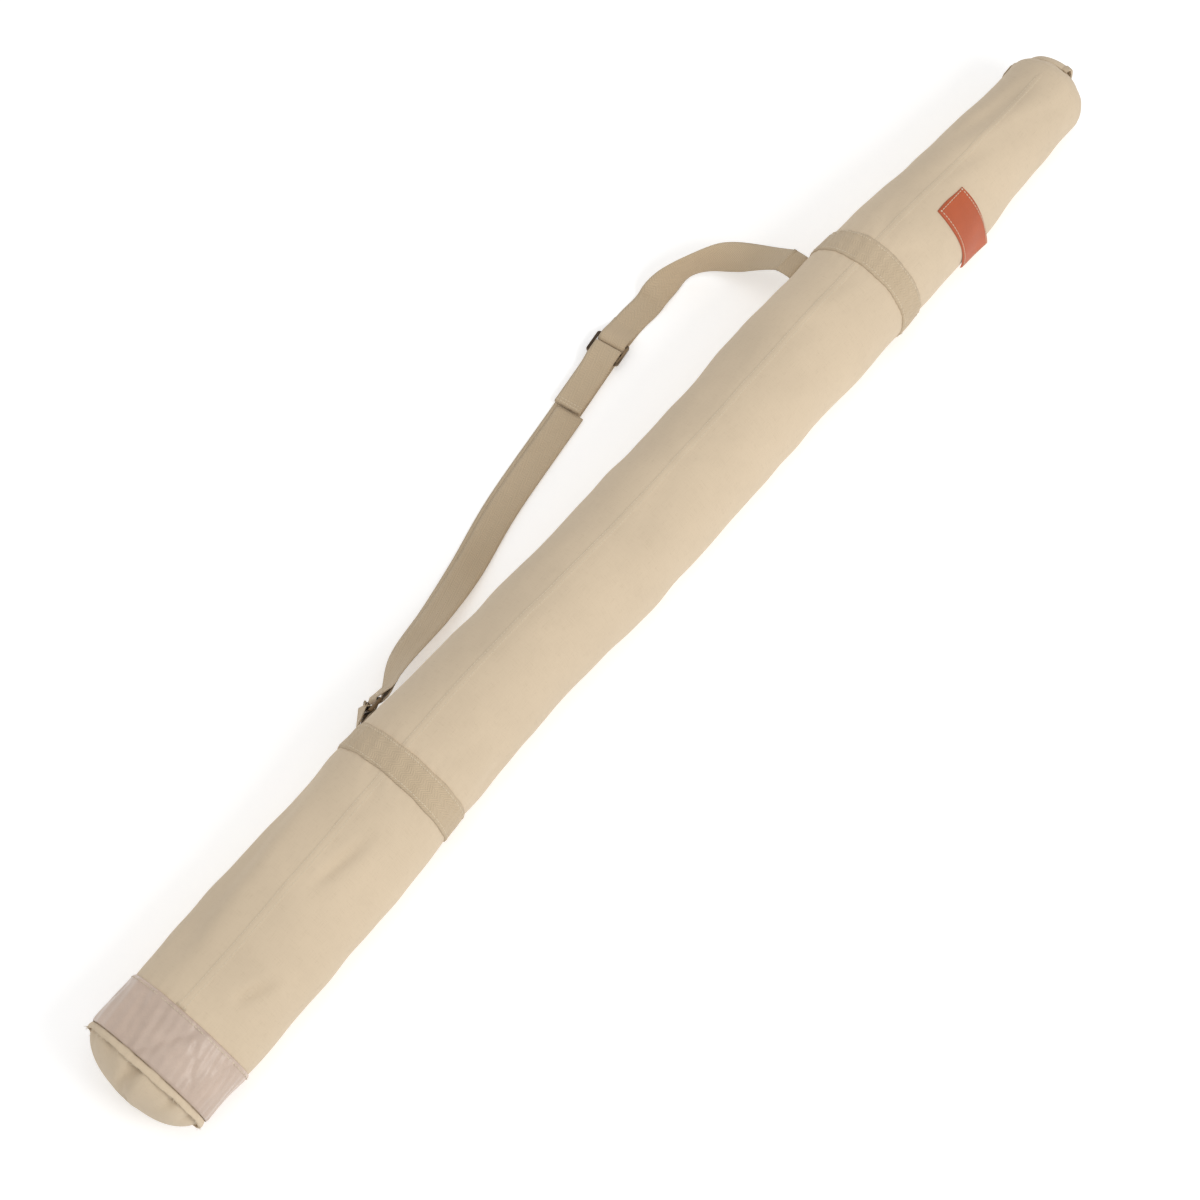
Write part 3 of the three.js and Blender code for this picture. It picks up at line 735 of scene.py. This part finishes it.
def make_seam():
    start, end = span("lengthwise_seam")
    half = math.radians(5)
    stitched_runs = [
        (start, LOWER_BAND[0]),
        (LOWER_BAND[1], UPPER_BAND[0]),
        (UPPER_BAND[1], end - 10 * MM),
    ]
    shape = np.linspace(-1, 1, 13)
    ridge = 0.62 * MM * np.cos(shape * np.pi / 2) ** 1.5 - 0.08 * MM
    angles = np.concatenate([SEAM_ANGLE + half * shape, SEAM_ANGLE + half * shape[::-1]])

    def section(x):
        fade = min(1, (end - x) / (12 * MM))
        lifts = np.concatenate([ridge - 0.6 * MM * (1 - fade), np.full(13, -0.9 * MM)])
        return angles + math.radians(1.2) * math.sin(9 * x), lifts

    seam = laid_strip("felled_seam", steps(start, end, 3.6 * MM), section)
    finish_piece(seam, canvas_finish, "case", ["lengthwise_seam"])
    rows = []
    for side in (-0.5, 0.5):
        for low, high in stitched_runs:
            x = steps(low + 2 * MM, high - 2 * MM, 4 * MM)
            angle = SEAM_ANGLE + side * half + math.radians(1.2) * np.sin(9 * x)
            rows.append(case_row(x, angle, 0.3 * MM))
    stitched("seam_stitches", rows, "case", thread_finish)


make_sleeve()
make_seam()

# ---------------------------------------------------------------- bands and butt end


def make_band(node_name, low, high, seed):
    """Webbing sewn round the case, with uneven edges and two rows of stitches."""

    def edge(side, angle):
        return side * (0.45 * np.sin(3 * angle + seed) + 0.3 * np.sin(11 * angle + 2 * seed)) * MM

    count = 200
    angles = around(count)
    half = (high - low) / 2
    side = np.linspace(-1, 1, 15)
    crown = 1 - 0.5 * np.abs(side) ** 14
    x = (low + high) / 2 + side[:, None] * half + edge(side[:, None], angles[None])
    swell = 0.12 * MM * np.sin(5 * side[:, None] + 17 * angles[None])
    over_seam = 0.5 * MM * np.exp(-((wrapped(angles - SEAM_ANGLE) / math.radians(6)) ** 2))
    lift = (0.1 + 1.35 * crown[:, None]) * MM + swell + over_seam
    outer = on_case(x, np.broadcast_to(angles, x.shape), lift)
    inner = on_case(x[::-1], np.broadcast_to(angles, x.shape), np.full_like(x, -0.3 * MM))
    across = np.concatenate([side, side[::-1]]) * half
    points = np.concatenate([outer, inner]).transpose(1, 0, 2)
    name = f"{node_name}_webbing"
    band = grid_object(name, points, angles * RADIUS, across, close_rows=True, close_cols=True)
    finish_piece(band, webbing_finish, "case", [node_name])
    rows = [ring_row((low + high) / 2 + side * (half - 2.6 * MM), 1.5 * MM) for side in (-1, 1)]
    stitched(f"{node_name}_stitches", rows, "case", thread_finish)


make_band("lower_webbing_band", *LOWER_BAND, 0.7)
make_band("upper_webbing_band", *UPPER_BAND, 2.9)


# Creases across the trim: angle round it in degrees, slant across it, width in radians, height in mm.
TRIM_CREASES = [
    (62, -22, 0.09, -0.9),
    (76, -16, 0.1, 0.9),
    (96, 30, 0.05, -0.8),
    (104, 26, 0.07, 0.7),
    (121, -34, 0.045, -0.7),
    (138, 20, 0.09, 0.6),
    (158, -14, 0.06, -0.6),
    (20, 18, 0.08, -0.6),
    (200, 12, 0.08, -0.6),
]


def make_trim():
    def outside(x, angle):
        edge = np.minimum(x - TRIM_START, TRIM_END - x) / (1.2 * MM)
        across = (x - TRIM_START) / (TRIM_END - TRIM_START)
        crease = sum(
            height * MM * np.exp(-((wrapped(angle - np.radians(place + lean * (across - 0.5))) / width) ** 2))
            for place, lean, width, height in TRIM_CREASES
        )
        belly = 0.7 * MM * np.sin(np.pi * across) * np.sin(3 * angle + 1)
        return np.maximum(0.6 * MM + 0.95 * MM * np.clip(edge, 0, 1) ** 0.5 + crease + belly, 0.5 * MM)

    places = steps(TRIM_START, TRIM_END, 1.3 * MM)
    trim = sleeve("butt_trim", (places, outside), (places, level(0.35 * MM)), 220)
    finish_piece(trim, trim_finish, "case", ["butt_trim_band"])
    stitched("trim_stitches", [ring_row(TRIM_END - 3 * MM, 1.9 * MM)], "case", thread_finish)


def make_allowance():
    """The raw canvas edge standing out between the trim and the cap, with its loose threads."""
    start, end = span("end_seam_allowance")

    def ragged(angle):
        return (0.6 * np.sin(3 * angle) + 0.3 * np.sin(11 * angle + 2) + 0.15 * np.sin(43 * angle)) * MM

    angles = around(260)
    share = np.linspace(0, 1, 7)
    x = end + (start - end + ragged(angles)[None]) * share[:, None]
    wave = 0.18 * np.sin(9 * angles[None] + 2 * share[:, None])
    flare = (0.9 * np.sin(share[:, None] * 2.6) + wave - 0.2) * MM
    outer = on_case(x, np.broadcast_to(angles, x.shape), flare)
    inner = on_case(x[::-1], np.broadcast_to(angles, x.shape), (flare - 1.1 * MM)[::-1])
    points = np.concatenate([outer, inner]).transpose(1, 0, 2)
    across = np.concatenate([share, share[::-1]]) * (end - start)
    edge = grid_object("raw_allowance", points, angles * RADIUS, across, close_rows=True, close_cols=True)
    finish_piece(edge, canvas_finish, "case", ["end_seam_allowance"])
    threads = []
    for angle in rng.uniform(-0.5, 3.6, 70):
        root = on_case(start + 0.8 * MM, angle, 0.3 * MM)
        out = normals_at(start + MM, angle)
        length = rng.uniform(0.8, 2.4) * MM
        lean = np.array([-1.0, 0, 0]) + 0.3 * out + rng.normal(0, 0.35, 3)
        curl = rng.normal(0, 0.4, 3)
        t = np.linspace(0, 1, 6)[:, None]
        threads.append(root + length * (lean * t + curl * t**2))
    loose = tubes("loose_threads", threads, 0.14 * MM)
    finish_piece(loose, thread_finish, "case")


def tubes(name, lines, radius, sides=5):
    """Thin round tubes along several lines, as one mesh."""
    points, faces = [], []
    turns = around(sides)
    for line in lines:
        run = np.gradient(line, axis=0)
        run /= np.linalg.norm(run, axis=1, keepdims=True)
        aside = np.cross(run, [0.31, 0.22, 0.92])
        aside /= np.linalg.norm(aside, axis=1, keepdims=True)
        over = np.cross(run, aside)
        base = len(points)
        for k in range(len(line)):
            for turn in turns:
                points.append(line[k] + radius * (aside[k] * math.cos(turn) + over[k] * math.sin(turn)))
        for k in range(len(line) - 1):
            for j in range(sides):
                a, b = base + k * sides + j, base + k * sides + (j + 1) % sides
                faces.append((a, b, b + sides, a + sides))
        faces.append(tuple(base + j for j in range(sides))[::-1])
        faces.append(tuple(base + (len(line) - 1) * sides + j for j in range(sides)))
    mesh = bpy.data.meshes.new(name)
    mesh.from_pydata([tuple(p) for p in points], [], faces)
    mesh.polygons.foreach_set("use_smooth", [True] * len(mesh.polygons))
    outward(mesh)
    obj = bpy.data.objects.new(name, mesh)
    bpy.context.scene.collection.objects.link(obj)
    return obj


# Folds in the butt cap: angle round it, how far in from the rim they reach, depth and width.
CAP_FOLDS = [
    (93, 0.85, -11.0, 4.5),
    (104, 0.9, 3.6, 9),
    (78, 0.8, 3.0, 11),
    (132, 0.4, -7.0, 4),
    (143, 0.35, 2.5, 7),
    (58, 0.3, -4.0, 5),
    (160, 0.35, -4.5, 5),
    (30, 0.5, -3.5, 7),
    (-2, 0.4, -3.0, 7),
    (190, 0.45, -3.0, 7),
    (235, 0.35, -1.8, 8),
    (310, 0.35, -1.8, 8),
]


def make_cap():
    """The canvas disc that closes the butt, blown out into a dome and gathered at its rim."""
    rim = TUBE_START + 2 * MM
    depth = rim - span("end_cap")[0]
    share = np.append(np.linspace(0, 0.985, 60), 0.9997)
    angles = around(200)
    s, a = np.meshgrid(share, angles, indexing="ij")
    turn = s * np.pi / 2
    fold = np.zeros_like(s)
    for place, reach, height, width in CAP_FOLDS:
        off = wrapped(a - math.radians(place) - 0.25 * s * math.sin(place)) * RADIUS * np.cos(turn)
        fade = np.exp(-((s / reach) ** 3)) * np.clip(s / 0.06, 0, 1)
        fold += height * MM * np.exp(-((off / (width * MM)) ** 2)) * fade
    gathers = 0.35 * MM * np.sin(31 * a + 3 * np.sin(3 * a)) * np.exp(-s / 0.1)
    x = rim - depth * 0.97 * np.sin(turn) ** 0.92 - (fold + gathers) * np.sin(turn) * 0.9
    inset = -(1.6 * MM) + (fold + gathers) * np.cos(turn) * 0.6
    outer = on_case(np.maximum(x, rim - depth), a, inset, np.cos(turn) ** 0.9)
    inner = on_case(np.maximum(x, rim - depth) + 1.1 * MM, a, inset - 1.1 * MM, np.cos(turn) ** 0.9)
    skirt = on_case(np.full_like(angles, rim + 6 * MM), angles, -1.7 * MM)[None]
    skirt_in = on_case(np.full_like(angles, rim + 6 * MM), angles, -2.8 * MM)[None]
    points = np.concatenate([skirt, outer, inner[::-1], skirt_in])
    u = np.concatenate([[0], share, share[::-1], [0]]) * 80 * MM
    cap = grid_object("butt_cap", points, u, angles * RADIUS, close_rows=True, close_cols=True)
    finish_piece(cap, canvas_finish, "case", ["end_cap"])


def make_pad():
    low, high = (Vector(corner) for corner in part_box("butt_pad"))
    centre, size = (low + high) / 2, (high - low) / 2
    share = np.linspace(-1, 1, 17)
    angles = around(64)
    s, a = np.meshgrid(share, angles, indexing="ij")
    radial = (1 - np.abs(s) ** 3.2) ** 0.42
    y = centre.y + radial * size.y * np.cos(a)
    z = centre.z + radial * size.z * np.sin(a)
    points = np.stack([centre.x + s * size.x, y, z], axis=-1)
    pad = grid_object("butt_cushion", points, share * size.x, angles * RADIUS, close_cols=True)
    finish_piece(pad, foam_finish, "case", ["butt_pad"])


make_trim()
make_allowance()
make_cap()
make_pad()

# ---------------------------------------------------------------- the leather patch


PATCH_WIDTH, PATCH_LENGTH = 36, 74  # in mm, along the case and round it
PATCH_INSET = 2.4  # its stitched groove is this far in from the edge, in mm
PATCH_CURL_START = 0.62
PATCH_CURL = 4.2 * MM


def patch_curl(across, along):
    """How far the patch curls up off the canvas: across and along are shares of its two sides."""
    rise = np.clip((along - PATCH_CURL_START) / (1 - PATCH_CURL_START), 0, 1) ** 2
    return PATCH_CURL * rise * (0.35 + 0.65 * across)


def make_patch():
    """A sewn leather patch, one end of it curled up off the canvas."""
    low, high = span("leather_patch")
    start, sweep = math.radians(108), math.radians(84)
    u = np.linspace(0, 1, 34)
    v = np.linspace(0, 1, 60)
    uu, vv = np.meshgrid(u, v, indexing="ij")
    x = low + (high - low) * (uu + 0.018 * np.sin(7 * vv) * (2 * uu - 1))
    angle = start + sweep * (vv + 0.01 * np.sin(5 * uu) * (2 * vv - 1))
    lift = 0.3 * MM + patch_curl(uu, vv)
    from_side = np.minimum(uu, 1 - uu) * PATCH_WIDTH
    from_end = np.minimum(vv, 1 - vv) * PATCH_LENGTH
    from_edge = np.minimum(from_side, from_end)
    thick = 0.35 * MM + 1.15 * MM * np.clip(from_edge / 1.2, 0, 1) ** 0.5
    groove = np.exp(-((from_edge - PATCH_INSET) / 0.5) ** 2)
    top = on_case(x, angle, lift + thick - 0.35 * MM * groove)
    bottom = on_case(x, angle, lift)
    points = np.concatenate([top, bottom[::-1]])
    patch = grid_object(
        "sewn_patch",
        points,
        np.concatenate([u, u[::-1]]) * (high - low),
        v * sweep * RADIUS,
        close_rows=True,
    )
    close_sides(patch, points)
    finish_piece(patch, patch_finish, "case", ["leather_patch"])

    def spot(p, q):
        return low + (high - low) * p, start + sweep * q

    rows = []
    side, end = PATCH_INSET / PATCH_WIDTH, PATCH_INSET / PATCH_LENGTH
    corners = [(side, end), (1 - side, end), (1 - side, 1 - end), (side, 1 - end)]
    for (p0, q0), (p1, q1) in zip(corners, corners[1:] + corners[:1]):
        p, q = np.linspace(p0, p1, 30), np.linspace(q0, q1, 30)
        px, pa = spot(p, q)
        rows.append(case_row(px, pa, 1.75 * MM + patch_curl(p, q)))
    stitched("patch_stitches", rows, "case", thread_finish)


def close_sides(obj, points):
    """Closes the two open long sides of a flat shell."""
    work = bmesh.new()
    work.from_mesh(obj.data)
    rows, cols = points.shape[:2]
    work.verts.ensure_lookup_table()
    half = rows // 2
    for column in (0, cols - 1):
        for k in range(half - 1):
            ring = [k, k + 1, rows - 2 - k, rows - 1 - k]
            work.faces.new([work.verts[r * cols + column] for r in ring])
    bmesh.ops.recalc_face_normals(work, faces=work.faces)
    for face in work.faces:
        face.smooth = True
    work.to_mesh(obj.data)
    work.free()


make_patch()

# ---------------------------------------------------------------- the mouth: end panel, flap, binding

PANEL_EDGE = span("mouth_end_panel", 1)[1]
FLAP_EDGE = span("mouth_flap", 1)[0]
FLAP_RIM = TUBE_END + 0.5 * MM


def dome_points(share, angle, rim_x, lift, depth, ripple=0.0):
    """Points of a dome over the mouth: share runs from 0 at the rim to 1 at the tip."""
    turn = share * np.pi / 2
    sway = ripple * np.sin(3 * angle + 1) * np.sin(np.pi * share)
    x = rim_x + depth * np.sin(turn) ** 0.85 + sway
    ring = on_case(np.full_like(x, rim_x), angle, lift, np.cos(turn) ** 0.85)
    return np.stack([x, ring[..., 1], ring[..., 2]], axis=-1)


def dome_sheet(name, rim_x, lift, depth, keep, thickness, ripple=0.0):
    """A soft dome closing the tube's mouth, cut to keep = (low y, high y) and given its thickness."""
    share = np.linspace(0, 1, 40)
    angles = around(160)
    s, a = np.meshgrid(share, angles, indexing="ij")
    points = dome_points(s, a, rim_x, lift, depth, ripple)
    obj = grid_object(name, points, share * 55 * MM, angles * RADIUS, close_cols=True)
    work = bmesh.new()
    work.from_mesh(obj.data)
    for y, side in ((keep[0], -1), (keep[1], 1)):
        geometry = work.verts[:] + work.edges[:] + work.faces[:]
        bmesh.ops.bisect_plane(
            work,
            geom=geometry,
            plane_co=(0, y, 0),
            plane_no=(0, side, 0),
            clear_outer=True,
        )
    bmesh.ops.remove_doubles(work, verts=work.verts[:], dist=0.05 * MM)
    work.to_mesh(obj.data)
    work.free()
    modified(obj, "SOLIDIFY", thickness=thickness, offset=-1)
    return applied(obj)


def make_mouth():
    far = 0.2  # past the case's side, so nothing is cut off there
    rim_lift = -HEM_ROLL - 0.2 * MM
    tip = span("mouth_flap")[1]
    panel_tip = span("mouth_end_panel")[1]
    panel = dome_sheet(
        "end_panel",
        TUBE_END - 1.5 * MM,
        rim_lift - 1.9 * MM,
        panel_tip - TUBE_END,
        (-far, PANEL_EDGE),
        1.2 * MM,
        0.5 * MM,
    )
    finish_piece(panel, canvas_finish, "case", ["mouth_end_panel"])
    flap = dome_sheet(
        "closing_flap",
        FLAP_RIM,
        rim_lift,
        tip - FLAP_RIM,
        (FLAP_EDGE, far),
        1.3 * MM,
        0.5 * MM,
    )
    finish_piece(flap, canvas_finish, "flap", ["mouth_flap"])
    binding_edge = span("flap_binding", 1)
    binding = dome_sheet(
        "flap_edge_binding",
        FLAP_RIM,
        rim_lift + 0.9 * MM,
        tip - TUBE_END + 0.4 * MM,
        binding_edge,
        0.8 * MM,
        0.5 * MM,
    )
    finish_piece(binding, webbing_finish, "flap", ["flap_binding"])


make_mouth()

TAPE_REACH = 20 * MM  # the hinge tape starts this far back on the sleeve
TAPE_HALF_ANGLE = math.radians(16)
TAPE_ON_FLAP = 0.2  # the share of the flap's dome it reaches over
TAPE_LIFT = 1.1 * MM
TAPE_THICKNESS = 0.8 * MM


def make_hinge_tape():
    """The cloth the flap swings on: tape sewn to the sleeve, laid over the hem and sewn to the flap."""
    angles = np.linspace(-TAPE_HALF_ANGLE, TAPE_HALF_ANGLE, 25)
    x, a = np.meshgrid(steps(TUBE_END - TAPE_REACH, TUBE_END, MM), angles, indexing="ij")
    on_sleeve = on_case(x, a, canvas_lift(x, a) + TAPE_LIFT)
    share, a = np.meshgrid(np.linspace(0, TAPE_ON_FLAP, 8), angles, indexing="ij")
    depth = span("mouth_flap")[1] - FLAP_RIM
    on_flap = dome_points(share, a, FLAP_RIM, TAPE_LIFT - HEM_ROLL, depth)
    points = np.concatenate([on_sleeve, on_flap])
    tape = grid_object("flap_hinge_tape", points, np.arange(len(points)) * MM, angles * RADIUS)
    modified(tape, "SOLIDIFY", thickness=TAPE_THICKNESS, offset=-1)
    tape = applied(tape)
    finish_piece(tape, webbing_finish)
    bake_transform(tape)


make_hinge_tape()

# ---------------------------------------------------------------- the strap

SWING = np.array(JOINTS["strap_swing"]["pos_m"])
BAR = np.array(JOINTS["ring_swing"]["pos_m"])
SLIDE = -np.array(JOINTS["slider_slide"]["axis"])
ROOT_X = middle("strap_root").x
SLOPE_DOWN = np.array(JOINTS["ring_swing"]["axis"])
SLOPE_UP = np.array([0, -SLOPE_DOWN[2], SLOPE_DOWN[1]])
WEBBING_WIDTH = BAND_WIDTH
WEBBING_THICKNESS = 1.5 * MM
LAYER_PITCH = 2.1 * MM
FLOOR_LEVEL = 1.05 * MM
REACH = 84 * MM
RETURN_SHIFT = 4 * MM  # the returning webbing lies this far to one side of the run below it
RETURN_START = 14 * MM
RETURN_OVERLAP = 8 * MM  # it ends this far inside the slider's sewn loop
ACROSS = np.cross([0, 0, 1], SLIDE)
SLIDER = np.array(middle("slider_frame"))
LOOP_END = span("slider_loop")[0]


def bend(along, out, height, *across):
    """A place of the strap's run, as shares of its way to the root, its reach and its swing height."""
    x = BAR[0] + (ROOT_X - BAR[0]) * along
    z = max(height * SWING[2], FLOOR_LEVEL)
    lean = np.array(across) / np.linalg.norm(across)
    return np.concatenate([[x, SWING[1] + out * REACH, z], lean])


def straight(share):
    begin, end = bend(0.4, 0.665, 0, *ACROSS), bend(0.76, 0.99, 0, *ACROSS)
    return begin + (end - begin) * share


UNDER_BAR = BAR - SLOPE_UP * 3.05 * MM  # the webbing's middle where it passes under the ring's bar
RUN = [
    np.concatenate([UNDER_BAR, SLOPE_DOWN]),
    np.concatenate([UNDER_BAR + [10 * MM, 0, 0], SLOPE_DOWN]),
    bend(0.084, 0.23, 0.54, -0.05, 0.8, -0.6),
    bend(0.18, 0.35, 0.235, -0.13, 0.93, -0.33),
    bend(0.275, 0.48, 0.06, -0.2, 0.97, -0.06),
    straight(0),
    straight(0.5),
    straight(1),
    bend(0.83, 0.99, 0.04, 0.02, 1, 0.02),
    bend(0.85, 0.99, 0.125, 0, 0.96, 0.26),
    bend(0.872, 0.98, 0.18, -0.05, 0.85, 0.52),
    bend(0.908, 0.93, 0.28, 0.1, 0.35, 0.93),
    bend(0.938, 0.83, 0.34, 0.35, 0.1, 0.93),
    bend(0.965, 0.66, 0.43, 0.7, 0, 0.71),
    bend(0.985, 0.43, 0.56, 0.93, 0.05, 0.36),
    bend(0.996, 0.21, 0.76, 1, 0.05, 0.05),
    bend(1, 0.07, 0.92, 1, 0, 0),
    bend(1, 0.02, 0.99, 1, 0, 0),
]


def fold_round(centre, radius, facing, across, through, count=10):
    """Half a turn of webbing round a bar, from under it to over it, as place and across pairs."""
    turn = np.linspace(-np.pi / 2, np.pi / 2, count)[:, None]
    places = centre + radius * (facing * np.cos(turn) + through * np.sin(turn))
    return np.hstack([places, np.broadcast_to(across, places.shape)])


def make_strap():
    """The shoulder strap: from its root along the floor to the ring, round it and back to the slider."""
    main = smooth_line(RUN, 12)
    tangent = np.gradient(main[:, :3], axis=0)
    tangent /= np.linalg.norm(tangent, axis=1, keepdims=True)
    up = np.cross(tangent, main[:, 3:])
    up /= np.linalg.norm(up, axis=1, keepdims=True)
    back = main.copy()
    back[:, :3] += up * LAYER_PITCH * 0.86 - main[:, 3:] * RETURN_SHIFT
    back = back[(back[:, 0] > BAR[0] + RETURN_START) & (back[:, 0] < LOOP_END + RETURN_OVERLAP)]
    fold = fold_round(BAR, 2.9 * MM, np.array([-1.0, 0, 0]), SLOPE_DOWN, SLOPE_UP)
    whole = evenly(np.vstack([main[::-1], fold[1:], back]), 2.5 * MM)
    strap = ribbon("strap_webbing", whole[:, :3], whole[:, 3:], WEBBING_WIDTH, WEBBING_THICKNESS)
    finish_piece(strap, webbing_finish, "strap", ["shoulder_strap"])


def make_root():
    """The strap's sewn end, climbing the case's side and bending over the swing axis into the strap."""
    angles = np.radians(np.linspace(-22, 6, 6))
    on_side = on_case(np.full(6, ROOT_X), angles, 1.2 * MM)
    rest = smooth_line(RUN, 12)[::-1][3:9, :3]
    line = smooth_line(np.vstack([on_side, rest]), 6)
    across = np.broadcast_to([1.0, 0, 0], line.shape)
    root = ribbon("strap_root_webbing", line, across, WEBBING_WIDTH, WEBBING_THICKNESS)
    finish_piece(root, webbing_finish, None, ["strap_root"])
    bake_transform(root)


def make_tab():
    """The tab that holds the ring, folded round its bar and sewn down at the lower band's edge."""
    bar = np.array(middle("strap_ring")) * 2 - BAR
    radius = 3.4 * MM
    fold = fold_round(bar, radius, np.array([1.0, 0, 0]), SLOPE_DOWN, SLOPE_UP)
    sewn_x, sewn_angle = LOWER_BAND[1] - 2 * MM, math.radians(-4)
    low, high = (
        np.concatenate([on_case(sewn_x, sewn_angle, lift), [0, 0.2, -1]]) for lift in (2.4 * MM, 4.3 * MM)
    )
    line = smooth_line(np.vstack([low, fold, high]), 4)
    tab = ribbon("ring_tab_webbing", line[:, :3], line[:, 3:], WEBBING_WIDTH, WEBBING_THICKNESS)
    finish_piece(tab, webbing_finish, None, ["ring_tab"])
    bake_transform(tab)


def on_slider(back, height):
    """A place over the strap's straight stretch: how far back from the slider's middle, and how high."""
    return np.concatenate([SLIDER - SLIDE * back, ACROSS]) + np.array([0, 0, height - SLIDER[2], 0, 0, 0])


def make_loop():
    """The webbing sewn round the slider's middle bar, with its folded tail on top."""
    radius = 2.4 * MM
    length = 66 * MM
    low = FLOOR_LEVEL + 2 * LAYER_PITCH - 0.5 * MM
    upper = low + 1.9 * MM
    fold = fold_round(SLIDER, radius, SLIDE, ACROSS, np.array([0, 0, 1.0]))
    under = [
        on_slider(length, low),
        on_slider(length / 2, low),
        on_slider(12 * MM, SLIDER[2] - radius),
    ]
    over = [
        on_slider(13 * MM, SLIDER[2] + radius),
        on_slider(22 * MM, upper + 0.6 * MM),
        on_slider(34 * MM, upper),
        on_slider(length, upper),
    ]
    line = np.vstack([*under, fold, *over])
    line = evenly(smooth_line(line, 6), 1.5 * MM)
    loop = ribbon("slider_loop_webbing", line[:, :3], line[:, 3:], WEBBING_WIDTH, WEBBING_THICKNESS)
    finish_piece(loop, webbing_finish, "slider", ["slider_loop"])
    top = upper + WEBBING_THICKNESS / 2
    rows = []
    for back in (length - 2.2 * MM, length - 5 * MM):
        side = np.linspace(-1, 1, 30)[:, None] * (WEBBING_WIDTH / 2 - 2 * MM)
        line = (on_slider(back, top)[:3])[None] + ACROSS[None] * side
        rows.append((line, np.broadcast_to([0, 0, 1.0], line.shape)))
    stitched("loop_stitches", rows, "slider", thread_finish)


def make_threaded_run():
    """The strap's single run where it climbs over the slider's bar and dips into its slot."""
    on_strap = FLOOR_LEVEL + WEBBING_THICKNESS
    over = SLIDER[2] + 2.0 * MM
    stops = [
        (-33, FLOOR_LEVEL - 0.6 * MM),
        (-27, on_strap - 0.4 * MM),
        (-20, over - 4 * MM),
        (-14, over - 0.9 * MM),
        (-9.5, over),
        (-5.6, over - 1.0 * MM),
        (-4.2, SLIDER[2] - 1.5 * MM),
    ]
    places = np.vstack([on_slider(back * MM, height) for back, height in stops])
    line = evenly(smooth_line(places, 8), 1.5 * MM)
    run = ribbon("threaded_webbing", line[:, :3], line[:, 3:], WEBBING_WIDTH, WEBBING_THICKNESS)
    finish_piece(run, webbing_finish, "slider")


make_strap()
make_root()
make_tab()
make_loop()
make_threaded_run()

# ---------------------------------------------------------------- metal pieces kept from the frame


def polish(name, width):
    """A CAD metal piece with its edges rounded over and a bronze finish."""
    piece = frame["nodes"][name]
    piece.data.materials.clear()
    piece.data.materials.append(bronze_finish)
    modified(piece, "WELD", merge_threshold=0.01 * MM)
    modified(piece, "BEVEL", width=width, segments=4, limit_method="ANGLE", angle_limit=math.radians(40))
    for polygon in piece.data.polygons:
        polygon.use_smooth = True


polish("strap_ring", 1.1 * MM)
polish("slider_frame", 0.8 * MM)
for stud_piece in ("stud_cap", "stud_socket", "stud_ball", "stud_eyelet"):
    polish(stud_piece, 0.15 * MM)

# ---------------------------------------------------------------- floor, light and camera


def plane(name, size, height, material):
    mesh = bpy.data.meshes.new(name)
    corners = [(-1, -1), (1, -1), (1, 1), (-1, 1)]
    mesh.from_pydata([(x * size, y * size, height) for x, y in corners], [], [(0, 1, 2, 3)])
    obj = bpy.data.objects.new(name, mesh)
    bpy.context.scene.collection.objects.link(obj)
    obj.data.materials.append(material)


def area_light(name, place, aim, size, power, colour=(1, 1, 1)):
    light = bpy.data.lights.new(name, "AREA")
    light.energy = power
    light.size = size
    light.color = colour
    obj = bpy.data.objects.new(name, light)
    obj.location = place
    obj.rotation_euler = (Vector(aim) - Vector(place)).to_track_quat("-Z", "Y").to_euler()
    bpy.context.scene.collection.objects.link(obj)


def light_scene():
    world = bpy.data.worlds.new("studio")
    world.use_nodes = True
    background = world.node_tree.nodes["Background"]
    background.inputs["Color"].default_value = (1, 1, 1, 1)
    background.inputs["Strength"].default_value = 0.58
    bpy.context.scene.world = world
    area_light("key", (0.2, -2.1, 1.9), (0, 0, 0), 1.2, 27, (1, 1, 0.99))
    area_light("top", (-0.2, 0.1, 2.6), (0, 0, 0), 2.2, 14)
    bpy.context.scene.view_settings.view_transform = "Standard"


def place_camera():
    """A long-lens view from high over the case's butt end and strap side."""
    azimuth, elevation = math.radians(-49.9), math.radians(67.5)
    distance = 2.2034
    target = Vector((-0.0548, -0.0176, 0.0493))
    forward = Vector(
        (
            -math.sin(azimuth) * math.cos(elevation),
            math.cos(azimuth) * math.cos(elevation),
            -math.sin(elevation),
        )
    )
    data = bpy.data.cameras.new("camera")
    data.lens = 81
    data.sensor_width = 36
    camera = bpy.data.objects.new("camera", data)
    camera.location = target - forward * distance
    camera.rotation_euler = forward.to_track_quat("-Z", "Y").to_euler()
    bpy.context.scene.collection.objects.link(camera)
    bpy.context.scene.camera = camera


FLOOR_REACH = 60.0  # far enough that no edge of the floor shows
plane("floor", FLOOR_REACH, 0.0, floor_material())
light_scene()
place_camera()
